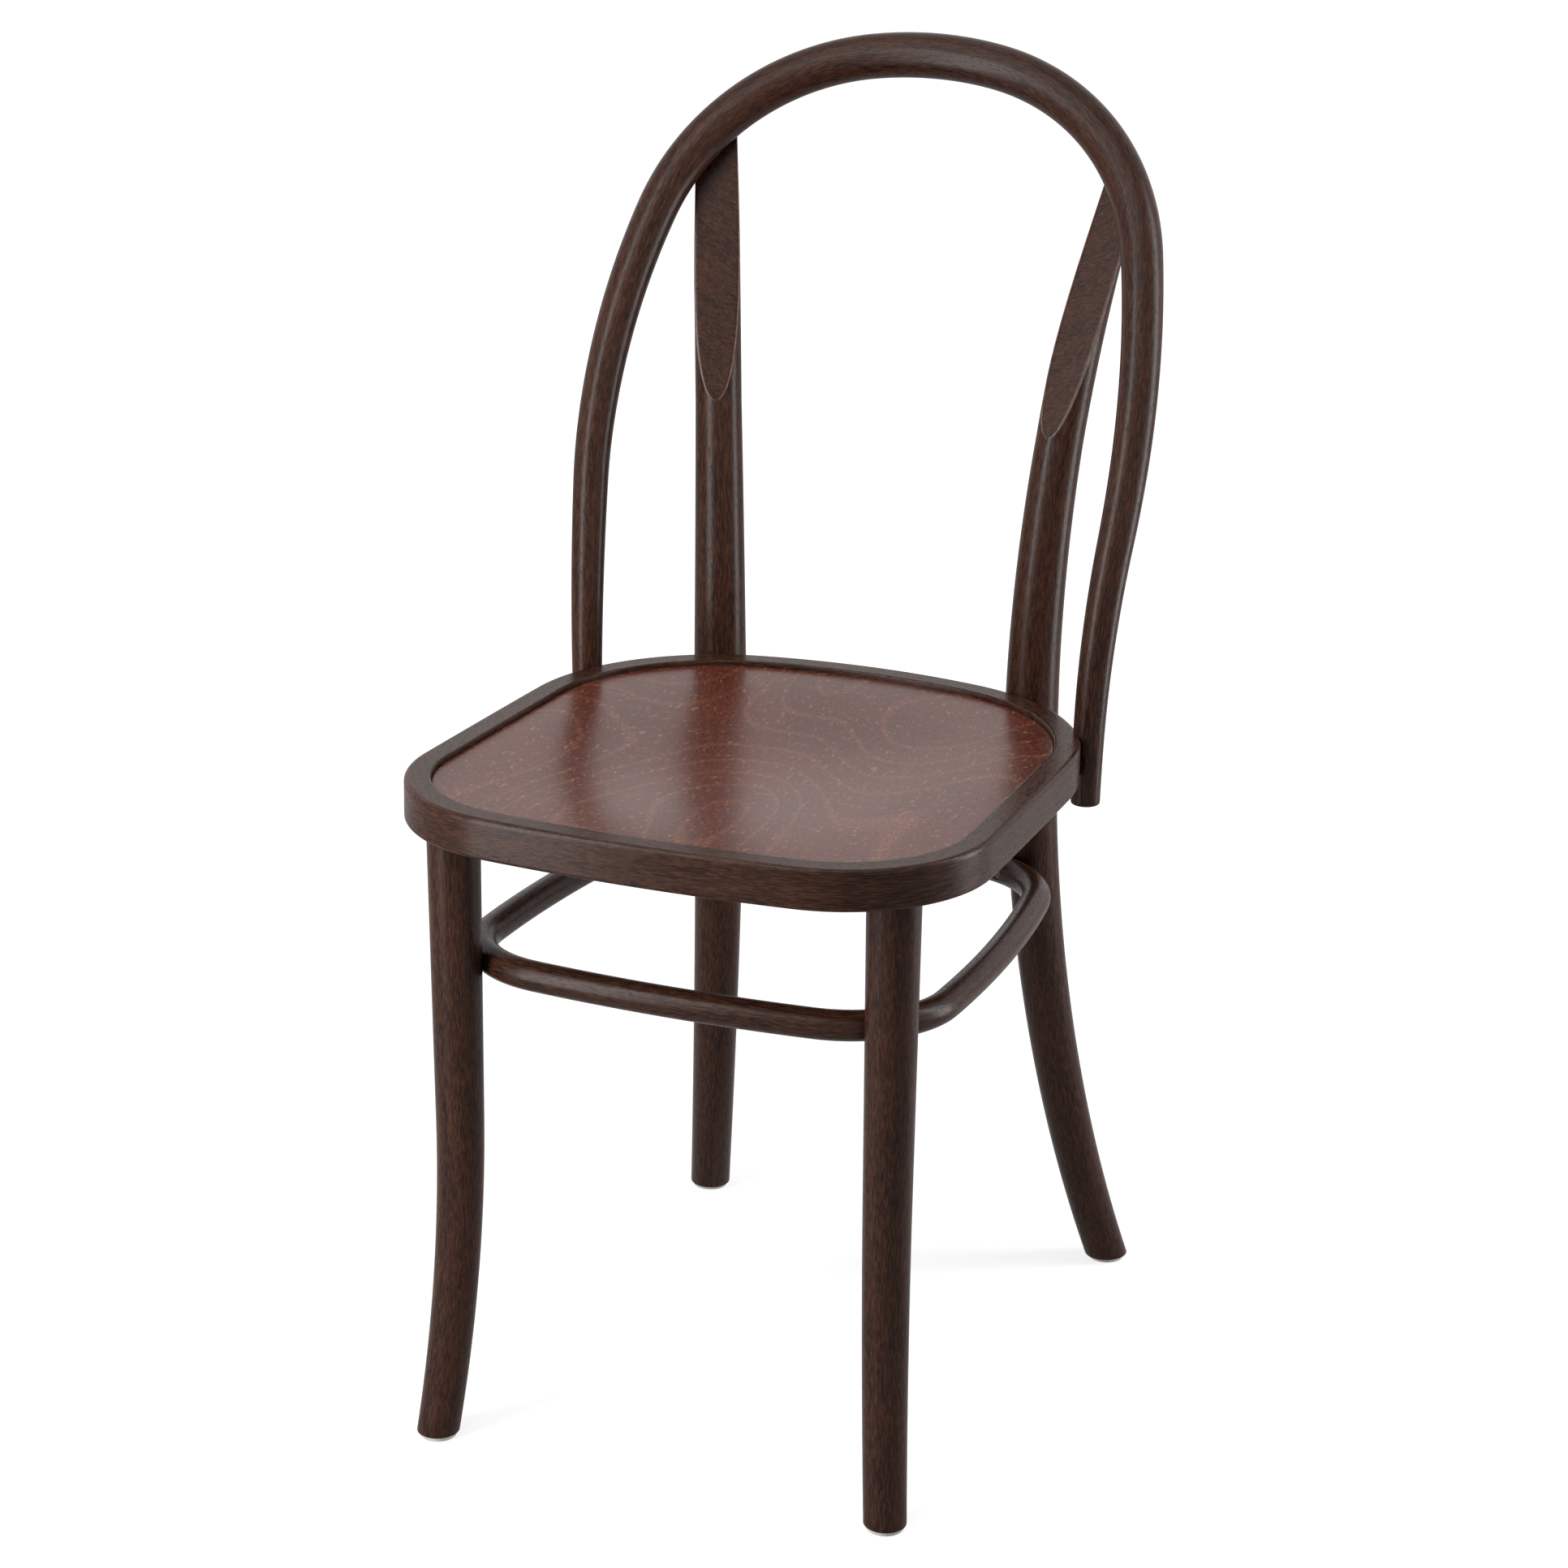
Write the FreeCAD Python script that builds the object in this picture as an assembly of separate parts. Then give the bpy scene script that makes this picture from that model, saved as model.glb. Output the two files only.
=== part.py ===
import FreeCAD, Part
import math
import os

# Dining chair of steam-bent wood. Millimetres, +Z up, the chair faces -Y and its left side is -X.
# The chair is built about the middle of its seat, and last of all it is moved so that
# the origin lies under the middle of its bounding box, on the floor.

Vector = FreeCAD.Vector
UP = Vector(0, 0, 1)

# Seat outline: five tangent arcs a side, from the front bow round to the rear bow
seat_height = 460.0
seat_width = 397.8
seat_depth = 417.7
front_bow_radius = 1057.0
front_corner_radius = 103.5
side_bow_radius = 12000.0
rear_corner_radius = 142.9
rear_bow_radius = 396.3
rear_corner_inset = 147.9

# Seat rim, bent from one strip, with a rebate for the panel
rim_height = 27.4
rim_width = 48.0
rim_border = 17.5
rim_top_round = 3.1
rim_bottom_round = 2.0
rim_inner_round = 1.2
panel_reveal = 3.5

# Seat panel, moulded plywood dished in the middle
panel_thickness = 6.0
panel_dish = 8.0
panel_flat_border = 12.0
panel_screw_end_share = 0.15
panel_screw_radius = 1.75
panel_screw_bite = 4.5

# Front legs
front_leg_angle = -39.7
front_leg_inset = 29.7
front_leg_top_radius = 17.6
front_leg_foot_radius = 14.2
front_leg_inward_slope = 0.0052
front_leg_rear_slope = 0.0246
front_leg_knee_height = 227.2
front_leg_side_sweep = 2238.0
front_leg_front_sweep = 1185.0
tenon_radius = 11.0
tenon_length = 14.0

# Rear posts: foot, seat, neck where the flat begins, and lap on the hoop; knees are measured from the seat
post_angle = 65.7
post_nest = 0.8
post_foot_radius = 14.6
post_seat_radius = 18.5
post_neck_radius = 16.2
post_foot_side_knee_drop = 14.4
post_foot_side_sweep = 2353.0
post_foot_rear_knee_rise = 18.8
post_foot_rear_sweep = 1258.0
post_side_knee_drop = 29.3
post_rear_knee_rise = 8.2
post_flat_length = 183.5
post_lap_thickness = 9.5
post_top_short = 9.0

# Back hoop: laid flat it is four tangent arcs a side, and that flat sheet is then bent backwards
hoop_end_drop = 49.5
hoop_end_angle = 26.8
hoop_saddle = 3.5
hoop_end_radius = 9.9
hoop_crown_radius = 15.6
hoop_taper_power = 1.5
hoop_flare_sweep = 2217.0
hoop_flare_turn = 4.61
hoop_arm_sweep = 631.9
hoop_arm_turn = 17.82
hoop_shoulder_sweep = 167.2
hoop_shoulder_turn = 66.14
hoop_upright = 37.6
hoop_lumbar_sweep = 501.9
hoop_lumbar_turn = 20.13
hoop_back_sweep = 998.0
hoop_lap_rise = 359.2
hoop_lap_depth = 3.0
hoop_end_round = 1.5

# Stretcher ring between the legs
stretcher_height = 334.3
stretcher_rear_drop = 4.8
stretcher_radius = 10.1
stretcher_nest = 1.2
stretcher_front_angle = -50.7
stretcher_front_corner = 71.4
stretcher_front_bow = 921.0
stretcher_side_bow = 1121.0
stretcher_rear_angle = 61.9
stretcher_rear_corner = 79.0
stretcher_rear_bow = 742.0

# Glides under the feet
glide_radius = 12.5
glide_thickness = 3.0
glide_round = 1.0
nail_radius = 1.2
nail_length = 16.0
nail_head_radius = 3.0
nail_head_thickness = 1.0
nail_recess = 0.8

# Wood screws, each with its shank and its pan head
wood_screw_radius = 2.3
wood_screw_head_radius = 4.2
wood_screw_head_height = 3.0
screw_crown_share = 1 / 3
wood_screw_bite = 16.0
lock_screw_bite = 13.0
stretcher_screw_sink = 3.5
rim_screw_sink = 2.0
hoop_end_screw_sink = 9.0
hoop_end_screw_bite = 14.0
hoop_top_screw_sink = 3.6
hoop_top_screw_drop = 4.0
hoop_top_screw_bite = 20.0

# Bolt, washer and threaded insert that hold each rear post to the rim
bolt_radius = 3.0
bolt_head_radius = 5.0
bolt_head_height = 6.0
bolt_socket_radius = 2.4
bolt_socket_depth = 3.5
bolt_bite = 13.0
washer_radius = 6.2
washer_thickness = 1.5
insert_radius = 5.0
insert_length = 15.0
bolt_sink = 10.0

# Fits
joint_clearance = 0.1
screw_clearance = 0.05
panel_clearance = 0.3
socket_clearance = 0.3
bore_clearance = 0.4

rim_top = seat_height
rim_bottom = seat_height - rim_height
ledge_top = seat_height - panel_reveal - panel_thickness
screw_line = (rim_bottom + ledge_top) / 2
hoop_end_height = seat_height - hoop_end_drop
hoop_lap_height = seat_height + hoop_lap_rise
post_foot_side_knee = seat_height - post_foot_side_knee_drop
post_foot_rear_knee = seat_height + post_foot_rear_knee_rise
post_side_knee = seat_height - post_side_knee_drop
post_rear_knee = seat_height + post_rear_knee_rise
overshoot = 12.0


def turn(angle):
    """Level unit vector at an angle in degrees from +X."""
    return Vector(math.cos(math.radians(angle)), math.sin(math.radians(angle)), 0)


def mirrored(point):
    return Vector(-point.x, point.y, point.z)


def mirror(shape):
    """The same piece on the left side."""
    return shape.mirror(Vector(0, 0, 0), Vector(1, 0, 0))


def tangent_circles(front_corner, rear_corner, front_bow, side_bow, rear_bow):
    """Five (centre, radius) pairs of the right half of an outline; each touches the next from inside."""
    front, front_radius = front_corner
    rear, rear_radius = rear_corner
    front_reach = math.sqrt((front_bow - front_radius) ** 2 - front.x ** 2)
    rear_reach = math.sqrt((rear_bow - rear_radius) ** 2 - rear.x ** 2)
    to_front = side_bow - front_radius
    to_rear = side_bow - rear_radius
    along = (rear - front).normalize()
    gap = (rear - front).Length
    foot = (to_front ** 2 - to_rear ** 2 + gap ** 2) / (2 * gap)
    side = front + along * foot + UP.cross(along) * math.sqrt(to_front ** 2 - foot ** 2)
    return [
        (Vector(0, front.y + front_reach, 0), front_bow),
        (front, front_radius),
        (side, side_bow),
        (rear, rear_radius),
        (Vector(0, rear.y - rear_reach, 0), rear_bow),
    ]


def outline_wire(circles, inset, z):
    """Closed outline of tangent arcs at height z, moved inwards by the inset."""
    joints = []
    for (centre, radius), (next_centre, next_radius) in zip(circles, circles[1:]):
        step = (next_centre - centre) if radius > next_radius else (centre - next_centre)
        joints.append(step.normalize())
    starts = [mirrored(joints[0])] + joints
    ends = joints + [mirrored(joints[-1])]
    arcs = []
    for (centre, radius), start, end in zip(circles, starts, ends):
        middle = (start + end).normalize()
        base = centre + UP * z
        arcs.append([base + way * (radius - inset) for way in (start, middle, end)])
    left = [[mirrored(p) for p in reversed(arc)] for arc in reversed(arcs[1:4])]
    return Part.Wire([Part.Arc(*arc).toShape() for arc in arcs + left])


def outline_prism(circles, inset, z_low, z_high):
    face = Part.Face(outline_wire(circles, inset, z_low))
    return face.extrude(UP * (z_high - z_low))


def sweep(depth, radius):
    """Sideways run of an arc that starts upright, at a depth along it; nothing before it starts."""
    return radius * (1 - math.sqrt(1 - (depth / radius) ** 2)) if depth > 0 else 0.0


def arc_radius(run, rise):
    """Radius of the arc that starts upright and passes through a point at (run, rise) from its start."""
    return (run ** 2 + rise ** 2) / (2 * run)


def ring_at(centre, axis, across, radius):
    """Circle square to the axis whose seam lies in the direction across."""
    axis = Vector(axis).normalize()
    side = (across - axis * across.dot(axis)).normalize()
    circle = Part.makeCircle(radius)
    circle.Placement = FreeCAD.Placement(centre, FreeCAD.Rotation(side, axis.cross(side), axis, "ZXY"))
    return Part.Wire(circle)


def bent_bar(stations):
    """Round bar through stations of (centre, axis, seam direction, radius)."""
    return Part.makeLoft([ring_at(*station) for station in stations], True, False)


def spread(start, end, steps):
    return [start + (end - start) * k / steps for k in range(steps + 1)]


def slab(z_low, z_high):
    """Level slab that takes in the whole chair between two heights."""
    reach = 2 * (seat_width + seat_depth)
    return Part.makeBox(reach, reach, z_high - z_low, Vector(-reach / 2, -reach / 2, z_low))


def block(centre, across, along, normal, half_width, half_length, depth):
    """Box on a plane: centred on a point, and as deep as said along the normal."""
    box = Part.makeBox(2 * half_width, 2 * half_length, depth, Vector(-half_width, -half_length, 0))
    box.Placement = FreeCAD.Placement(centre, FreeCAD.Rotation(across, along, normal, "ZXY"))
    return box


def rod(start, way, length, radius):
    return Part.makeCylinder(radius, length, start, way)


def screw(seat, way, length, radius, head_radius, head_height):
    """Wood screw whose head rests on the seat and whose shank runs along way to a tapered tip."""
    tip = 2 * radius
    shank = rod(seat, way, length - tip, radius)
    point = Part.makeCone(radius, radius / 3, tip, seat + way * (length - tip), way)
    crown = head_height * screw_crown_share
    skirt = rod(seat - way * (head_height - crown), way, head_height - crown, head_radius)
    dome = Part.makeCone(head_radius, head_radius / 2, crown, seat - way * (head_height - crown), way * -1)
    return shank.fuse([point, skirt, dome]).removeSplitter()


def screw_hole(seat, way, length, radius, head_radius, reach):
    """Room for a screw: pilot hole, and a straight bore out from the seat for its head."""
    pilot = rod(seat - way, way, length + 1 + socket_clearance, radius + screw_clearance)
    return pilot.fuse(rod(seat - way * reach, way, reach, head_radius + bore_clearance))


def seat_circles():
    half = seat_width / 2
    front_x = half - front_corner_radius
    front_drop = math.sqrt((front_bow_radius - front_corner_radius) ** 2 - front_x ** 2)
    front = Vector(front_x, -seat_depth / 2 + front_bow_radius - front_drop, 0)
    rear_x = half - rear_corner_inset
    rear_drop = math.sqrt((rear_bow_radius - rear_corner_radius) ** 2 - rear_x ** 2)
    rear = Vector(rear_x, seat_depth / 2 - rear_bow_radius + rear_drop, 0)
    return tangent_circles(
        (front, front_corner_radius), (rear, rear_corner_radius),
        front_bow_radius, side_bow_radius, rear_bow_radius)


seat = seat_circles()
front_corner_centre = seat[1][0]
rear_corner_centre = seat[3][0]


# Front legs, right side; they hang from the rim's underside

def front_leg_axis(z):
    top = front_corner_centre + turn(front_leg_angle) * (front_corner_radius - front_leg_inset)
    drop = rim_bottom - z
    below = front_leg_knee_height - z
    x = top.x - front_leg_inward_slope * drop + sweep(below, front_leg_side_sweep)
    y = top.y + front_leg_rear_slope * drop - sweep(below, front_leg_front_sweep)
    return Vector(x, y, z)


def front_leg_radius(z):
    return front_leg_foot_radius + (front_leg_top_radius - front_leg_foot_radius) * z / rim_bottom


# Back hoop, right half: u runs from 0 at the end by the seat to 1 at the middle of the crown

def hoop_end():
    out = rear_corner_radius + hoop_end_radius - hoop_saddle
    return rear_corner_centre + turn(hoop_end_angle) * out + UP * hoop_end_height


def hoop_arcs():
    """Arcs of the flat sheet as (sweep, turn inwards in radians), closed by the crown at x = 0."""
    arcs = [
        (hoop_flare_sweep, -math.radians(hoop_flare_turn)),
        (hoop_arm_sweep, math.radians(hoop_arm_turn)),
        (hoop_shoulder_sweep, math.radians(hoop_shoulder_turn)),
    ]
    x = hoop_end().x
    heading = 0.0
    for radius, angle in arcs:
        side = radius if angle > 0 else -radius
        x -= side * (math.cos(heading) - math.cos(heading + angle))
        heading += angle
    rest = math.pi / 2 - heading
    return arcs + [(x / math.cos(heading), rest)]


hoop_runs = hoop_arcs()
hoop_half_length = sum(radius * abs(angle) for radius, angle in hoop_runs)


def hoop_sheet(length):
    """Place in the flat sheet at a length from the end: (x, height, heading inwards)."""
    x = hoop_end().x
    height = 0.0
    heading = 0.0
    left = length
    for radius, angle in hoop_runs:
        share = min(left / (radius * abs(angle)), 1.0)
        side = radius if angle > 0 else -radius
        after = heading + angle * share
        x -= side * (math.cos(heading) - math.cos(after))
        height += side * (math.sin(after) - math.sin(heading))
        heading = after
        left -= radius * abs(angle) * share
    return x, height, heading


def hoop_lean(height):
    """Side view of the sheet: run backwards, rise and lean at a height up the sheet."""
    lumbar = math.radians(hoop_lumbar_turn)
    above = height - hoop_upright
    if above <= 0:
        return 0.0, height, 0.0
    lean = above / hoop_lumbar_sweep
    if lean <= lumbar:
        run = hoop_lumbar_sweep * (1 - math.cos(lean))
        return run, hoop_upright + hoop_lumbar_sweep * math.sin(lean), lean
    run = hoop_lumbar_sweep * (1 - math.cos(lumbar))
    rise = hoop_upright + hoop_lumbar_sweep * math.sin(lumbar)
    lean = lumbar + (above - hoop_lumbar_sweep * lumbar) / hoop_back_sweep
    run += hoop_back_sweep * (math.cos(lumbar) - math.cos(lean))
    rise += hoop_back_sweep * (math.sin(lean) - math.sin(lumbar))
    return run, rise, lean


def hoop_station(u, extra=0.0):
    """Centre, axis, seam direction and radius of the right half at u."""
    x, height, heading = hoop_sheet(u * hoop_half_length)
    run, rise, lean = hoop_lean(height)
    end = hoop_end()
    centre = Vector(x, end.y + run, end.z + rise)
    climb = Vector(0, math.sin(lean), math.cos(lean))
    axis = Vector(-math.sin(heading), 0, 0) + climb * math.cos(heading)
    behind = Vector(0, math.cos(lean), -math.sin(lean))
    swell = 1 - (1 - u) ** hoop_taper_power
    return centre, axis, behind, hoop_end_radius + (hoop_crown_radius - hoop_end_radius) * swell + extra


def hoop_bar(extra=0.0, inner_seam=False):
    """The whole hoop as one bar; extra thickens it, for the joints that it is let into."""
    right = [hoop_station(u, extra) for u in spread(0.0, 1.0, 20)]
    if inner_seam:
        right = [(c, a, a.cross(b), r) for c, a, b, r in right]
    left = [(mirrored(c), Vector(a.x, -a.y, -a.z), mirrored(b), r) for c, a, b, r in reversed(right[:-1])]
    return bent_bar(right + left)


def rounded_hoop_bar():
    """The hoop with rounded ends; its seam lies behind it, or inside where only that takes the rounding."""
    for inner_seam in (False, True):
        hoop = hoop_bar(inner_seam=inner_seam)
        rims = [e for e in hoop.Edges if e.BoundBox.ZMax < hoop_end_height + 1]
        hoop = hoop.makeFillet(hoop_end_round, rims)
        if hoop.isValid():
            break
    return hoop


def find_u(height):
    """Where up the right half of the hoop its centre line reaches a height."""
    low = 0.0
    high = 1.0
    for step in range(40):
        middle = (low + high) / 2
        if hoop_station(middle)[0].z < height:
            low = middle
        else:
            high = middle
    return low


# Rear posts, right side: they pass outside the rim and lean back to lie behind the hoop

lap_centre, lap_along, _, lap_radius = hoop_station(find_u(hoop_lap_height))
post_base = rear_corner_centre + turn(post_angle) * (rear_corner_radius + post_seat_radius - post_nest)
post_base_height = (rim_bottom + rim_top) / 2


def lap_target():
    """Point on the post's centre line behind the place where it meets the hoop."""
    rise = (lap_centre - (post_base + UP * post_base_height)).normalize()
    behind = lap_along.cross(rise).normalize()
    if behind.y < 0:
        behind = behind * -1
    back_of_hoop = lap_radius - hoop_lap_depth
    return lap_centre + behind * (back_of_hoop + post_lap_thickness - post_neck_radius)


post_target = lap_target()
post_x = post_base.x
post_y = post_base.y - sweep(post_foot_rear_knee - post_base_height, post_foot_rear_sweep)
post_side_sweep = arc_radius(post_target.x - post_x, post_target.z - post_side_knee)
post_rear_sweep = arc_radius(post_target.y - post_y, post_target.z - post_rear_knee)
flat_start = post_target.z - post_flat_length


def post_axis(z):
    x = post_x + sweep(post_foot_side_knee - z, post_foot_side_sweep)
    x += sweep(z - post_side_knee, post_side_sweep)
    y = post_y + sweep(post_foot_rear_knee - z, post_foot_rear_sweep)
    y += sweep(z - post_rear_knee, post_rear_sweep)
    return Vector(x, y, z)


def post_radius(z):
    if z < post_base_height:
        return post_foot_radius + (post_seat_radius - post_foot_radius) * z / post_base_height
    share = min((z - post_base_height) / (flat_start - post_base_height), 1.0)
    return post_seat_radius + (post_neck_radius - post_seat_radius) * share


def lap_plane():
    """Plane of the flat: it holds the line of the hoop's back and touches the post where the flat starts.

    Returns a point on it, its normal (backwards) and the direction up along it, square to the hoop.
    """
    rise = (post_target - post_axis(flat_start)).normalize()
    behind = lap_along.cross(rise).normalize()
    if behind.y < 0:
        behind = behind * -1
    seat_point = lap_centre + behind * (lap_radius - hoop_lap_depth)
    off = post_axis(flat_start) - seat_point
    off = off - lap_along * off.dot(lap_along)
    share = post_radius(flat_start) / off.Length
    square = lap_along.cross(off).normalize()
    if square.dot(behind) < 0:
        square = square * -1
    normal = off.normalize() * share + square * math.sqrt(1 - share ** 2)
    return seat_point, normal, normal.cross(lap_along).normalize()


lap_point, lap_normal, lap_up = lap_plane()
if lap_up.z < 0:
    lap_up = lap_up * -1


# Stretcher ring: its corners lie against the inner sides of the four legs, and its rear lies a little lower

def stretcher_circles():
    rear_height = stretcher_height - stretcher_rear_drop
    front_leg = front_leg_axis(stretcher_height)
    rear_leg = post_axis(rear_height)
    front_reach = stretcher_front_corner + stretcher_radius + front_leg_radius(stretcher_height)
    rear_reach = stretcher_rear_corner + stretcher_radius + post_radius(rear_height)
    front = front_leg - turn(stretcher_front_angle) * (front_reach - stretcher_nest)
    rear = rear_leg - turn(stretcher_rear_angle) * (rear_reach - stretcher_nest)
    front.z = 0
    rear.z = 0
    return tangent_circles(
        (front, stretcher_front_corner), (rear, stretcher_rear_corner),
        stretcher_front_bow, stretcher_side_bow, stretcher_rear_bow)


stretcher = stretcher_circles()
stretcher_front_y = stretcher[0][0].y - stretcher_front_bow
stretcher_rear_y = stretcher[4][0].y + stretcher_rear_bow
stretcher_slope = math.atan(stretcher_rear_drop / (stretcher_rear_y - stretcher_front_y))


def stretcher_z(y):
    """Height of the ring's centre line at a depth of the seat."""
    return stretcher_height - math.tan(stretcher_slope) * (y - stretcher_front_y)


def stretcher_bar(extra=0.0):
    path = outline_wire(stretcher, 0, stretcher_height)
    front = Vector(0, stretcher_front_y, stretcher_height)
    path.rotate(front, Vector(1, 0, 0), -math.degrees(stretcher_slope))
    first = path.Edges[0]
    start = first.valueAt(first.FirstParameter)
    way = first.tangentAt(first.FirstParameter)
    return path.makePipeShell([ring_at(start, way, UP, stretcher_radius + extra)], True, False)


# Fastener places on the right side; each is (seat of the head, direction of the shank)

def from_inner_face(angle, centre, corner_radius, sink):
    """Seat of a head that is sunk into the rim's inner face, at the screw line."""
    way = turn(angle)
    return centre + way * (corner_radius - rim_width + sink) + UP * screw_line, way


lock_seat, lock_way = from_inner_face(
    front_leg_angle, front_corner_centre, front_corner_radius, rim_screw_sink)
hoop_end_seat, hoop_end_way = from_inner_face(
    hoop_end_angle, rear_corner_centre, rear_corner_radius, hoop_end_screw_sink)
bolt_seat, bolt_way = from_inner_face(post_angle, rear_corner_centre, rear_corner_radius, bolt_sink)
lock_length = rim_width - rim_screw_sink - front_leg_inset - tenon_radius + lock_screw_bite
hoop_end_length = rim_width - hoop_end_screw_sink - hoop_saddle + hoop_end_screw_bite
bolt_length = rim_width - bolt_sink - washer_thickness - post_nest + bolt_bite


def stretcher_screw_places():
    places = []
    corners = (stretcher[1], stretcher_front_angle), (stretcher[3], stretcher_rear_angle)
    for (centre, corner), angle in corners:
        way = turn(angle)
        line = centre + way * corner
        place = line - way * (stretcher_radius - stretcher_screw_sink)
        places.append((place + UP * stretcher_z(line.y), way))
    return places


stretcher_places = stretcher_screw_places()
stretcher_screw_length = 2 * stretcher_radius - stretcher_screw_sink + wood_screw_bite
hoop_top_depth = post_lap_thickness - hoop_top_screw_sink
hoop_top_seat = lap_point - lap_up * hoop_top_screw_drop + lap_normal * hoop_top_depth
hoop_top_way = lap_normal * -1
hoop_top_length = hoop_top_depth + hoop_top_screw_bite


def panel_screw_places():
    """Six places on the ledge: front, rear and two on each side, from below."""
    inset = (rim_border + rim_width) / 2
    wire = outline_wire(seat, inset, rim_bottom)
    sides = [wire.Edges[k] for k in (2, 6)]
    ends = [wire.Edges[k] for k in (0, 4)]
    places = [edge.valueAt((edge.FirstParameter + edge.LastParameter) / 2) for edge in ends]
    for edge in sides:
        span = edge.LastParameter - edge.FirstParameter
        for share in (panel_screw_end_share, 1 - panel_screw_end_share):
            places.append(edge.valueAt(edge.FirstParameter + span * share))
    return places


panel_places = panel_screw_places()
panel_screw_head_radius = 2 * panel_screw_radius
panel_screw_head_height = panel_screw_radius
panel_screw_seat = UP * (panel_screw_head_height + 1)
panel_screw_length = ledge_top - rim_bottom - panel_screw_seat.z + panel_screw_bite


def both_sides(shape):
    return [shape, mirror(shape)]


# Pieces

def make_rim():
    rim = outline_prism(seat, 0, rim_bottom, rim_top)
    top = [e for e in rim.Edges if e.BoundBox.ZMin > rim_top - 1]
    rim = rim.makeFillet(rim_top_round, top)
    bottom = [e for e in rim.Edges if e.BoundBox.ZMax < rim_bottom + 0.01 and e.Length > 2 * rim_height]
    rim = rim.makeFillet(rim_bottom_round, bottom)
    rim = rim.cut(outline_prism(seat, rim_width, rim_bottom - 1, rim_top + 1))
    rim = rim.cut(outline_prism(seat, rim_border, ledge_top, rim_top + 1))
    border = outline_wire(seat, rim_border, rim_top)
    inner = [e for e in rim.Edges if e.BoundBox.ZMin > rim_top - 0.01
             and border.distToShape(Part.Vertex(e.valueAt(e.FirstParameter)))[0] < 0.01]
    rim = rim.makeFillet(rim_inner_round, inner)
    rim = rim.cut(hoop_bar(joint_clearance))
    tools = []
    foot = front_leg_axis(rim_bottom)
    tools += both_sides(rod(foot - UP, UP, tenon_length + 1 + socket_clearance,
                            tenon_radius + joint_clearance))
    tools += both_sides(screw_hole(lock_seat, lock_way, lock_length, wood_screw_radius,
                                   wood_screw_head_radius, rim_screw_sink + overshoot))
    tools += both_sides(screw_hole(hoop_end_seat, hoop_end_way, hoop_end_length, wood_screw_radius,
                                   wood_screw_head_radius, hoop_end_screw_sink + overshoot))
    tools += both_sides(rod(bolt_seat - bolt_way, bolt_way, rim_width, bolt_radius + bore_clearance))
    tools += both_sides(rod(bolt_seat - bolt_way * (bolt_sink + overshoot), bolt_way,
                            bolt_sink + overshoot, washer_radius + bore_clearance))
    for place in panel_places:
        tools.append(screw_hole(place + panel_screw_seat, UP, panel_screw_length, panel_screw_radius,
                                panel_screw_head_radius, 2 * panel_screw_seat.z))
    return rim.cut(tools)


def dish_patch(z, inset):
    """Moulded face of the panel: level all round its edge at the inset, and deepest in the middle.

    It is one patch of fourth degree, and only its middle pole is pressed down, so its edge stays level.
    That pole draws the middle of the patch by 6/16 in each direction, hence the factor on the dish.
    """
    half_width = seat_width / 2 - inset
    half_depth = seat_depth / 2 - inset
    poles = [[Vector(x, y, z) for y in spread(-half_depth, half_depth, 4)]
             for x in spread(-half_width, half_width, 4)]
    poles[2][2] = poles[2][2] - UP * panel_dish * (16 / 6) ** 2
    surface = Part.BSplineSurface()
    surface.buildFromPolesMultsKnots(poles, [5, 5], [5, 5], [0, 1], [0, 1], False, False, 4, 4)
    return surface.toShape()


def make_panel():
    top = seat_height - panel_reveal
    panel = outline_prism(seat, rim_border + panel_clearance, ledge_top, top)
    belly = dish_patch(ledge_top, rim_width).extrude(UP * (panel_dish + panel_thickness / 2))
    opening = outline_prism(seat, rim_width + panel_clearance, ledge_top - 2 * panel_dish, top)
    panel = panel.fuse(belly.common(opening))
    dish = dish_patch(top, rim_border + panel_flat_border).extrude(UP * 2 * panel_dish)
    tools = [rod(place, UP, panel_screw_seat.z + panel_screw_length + socket_clearance,
                 panel_screw_radius + screw_clearance) for place in panel_places]
    return panel.cut([dish] + tools)


def make_front_leg(ring):
    heights = spread(-overshoot, rim_bottom + overshoot, 12)
    stations = [(front_leg_axis(z), front_leg_axis(z + 1) - front_leg_axis(z - 1), Vector(1, 0, 0),
                 front_leg_radius(z)) for z in heights]
    leg = bent_bar(stations).common(slab(glide_thickness, rim_bottom))
    leg = leg.fuse(rod(front_leg_axis(rim_bottom) - UP, UP, tenon_length + 1, tenon_radius))
    place, way = stretcher_places[0]
    tools = [
        ring,
        rod(place, way, stretcher_screw_length + socket_clearance, wood_screw_radius + screw_clearance),
        rod(lock_seat, lock_way, lock_length + socket_clearance, wood_screw_radius + screw_clearance),
        nail_room(front_leg_axis(glide_thickness)),
    ]
    return leg.cut(tools)


def above_post_top(gap=0.0):
    """Room above the top end of the post, which is cut square to its flat."""
    reach = post_flat_length + 3 * post_neck_radius
    over = lap_point + lap_up * (lap_radius - post_top_short + gap)
    return block(over, lap_along, lap_up.cross(lap_along), lap_up, reach, reach, reach)


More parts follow.
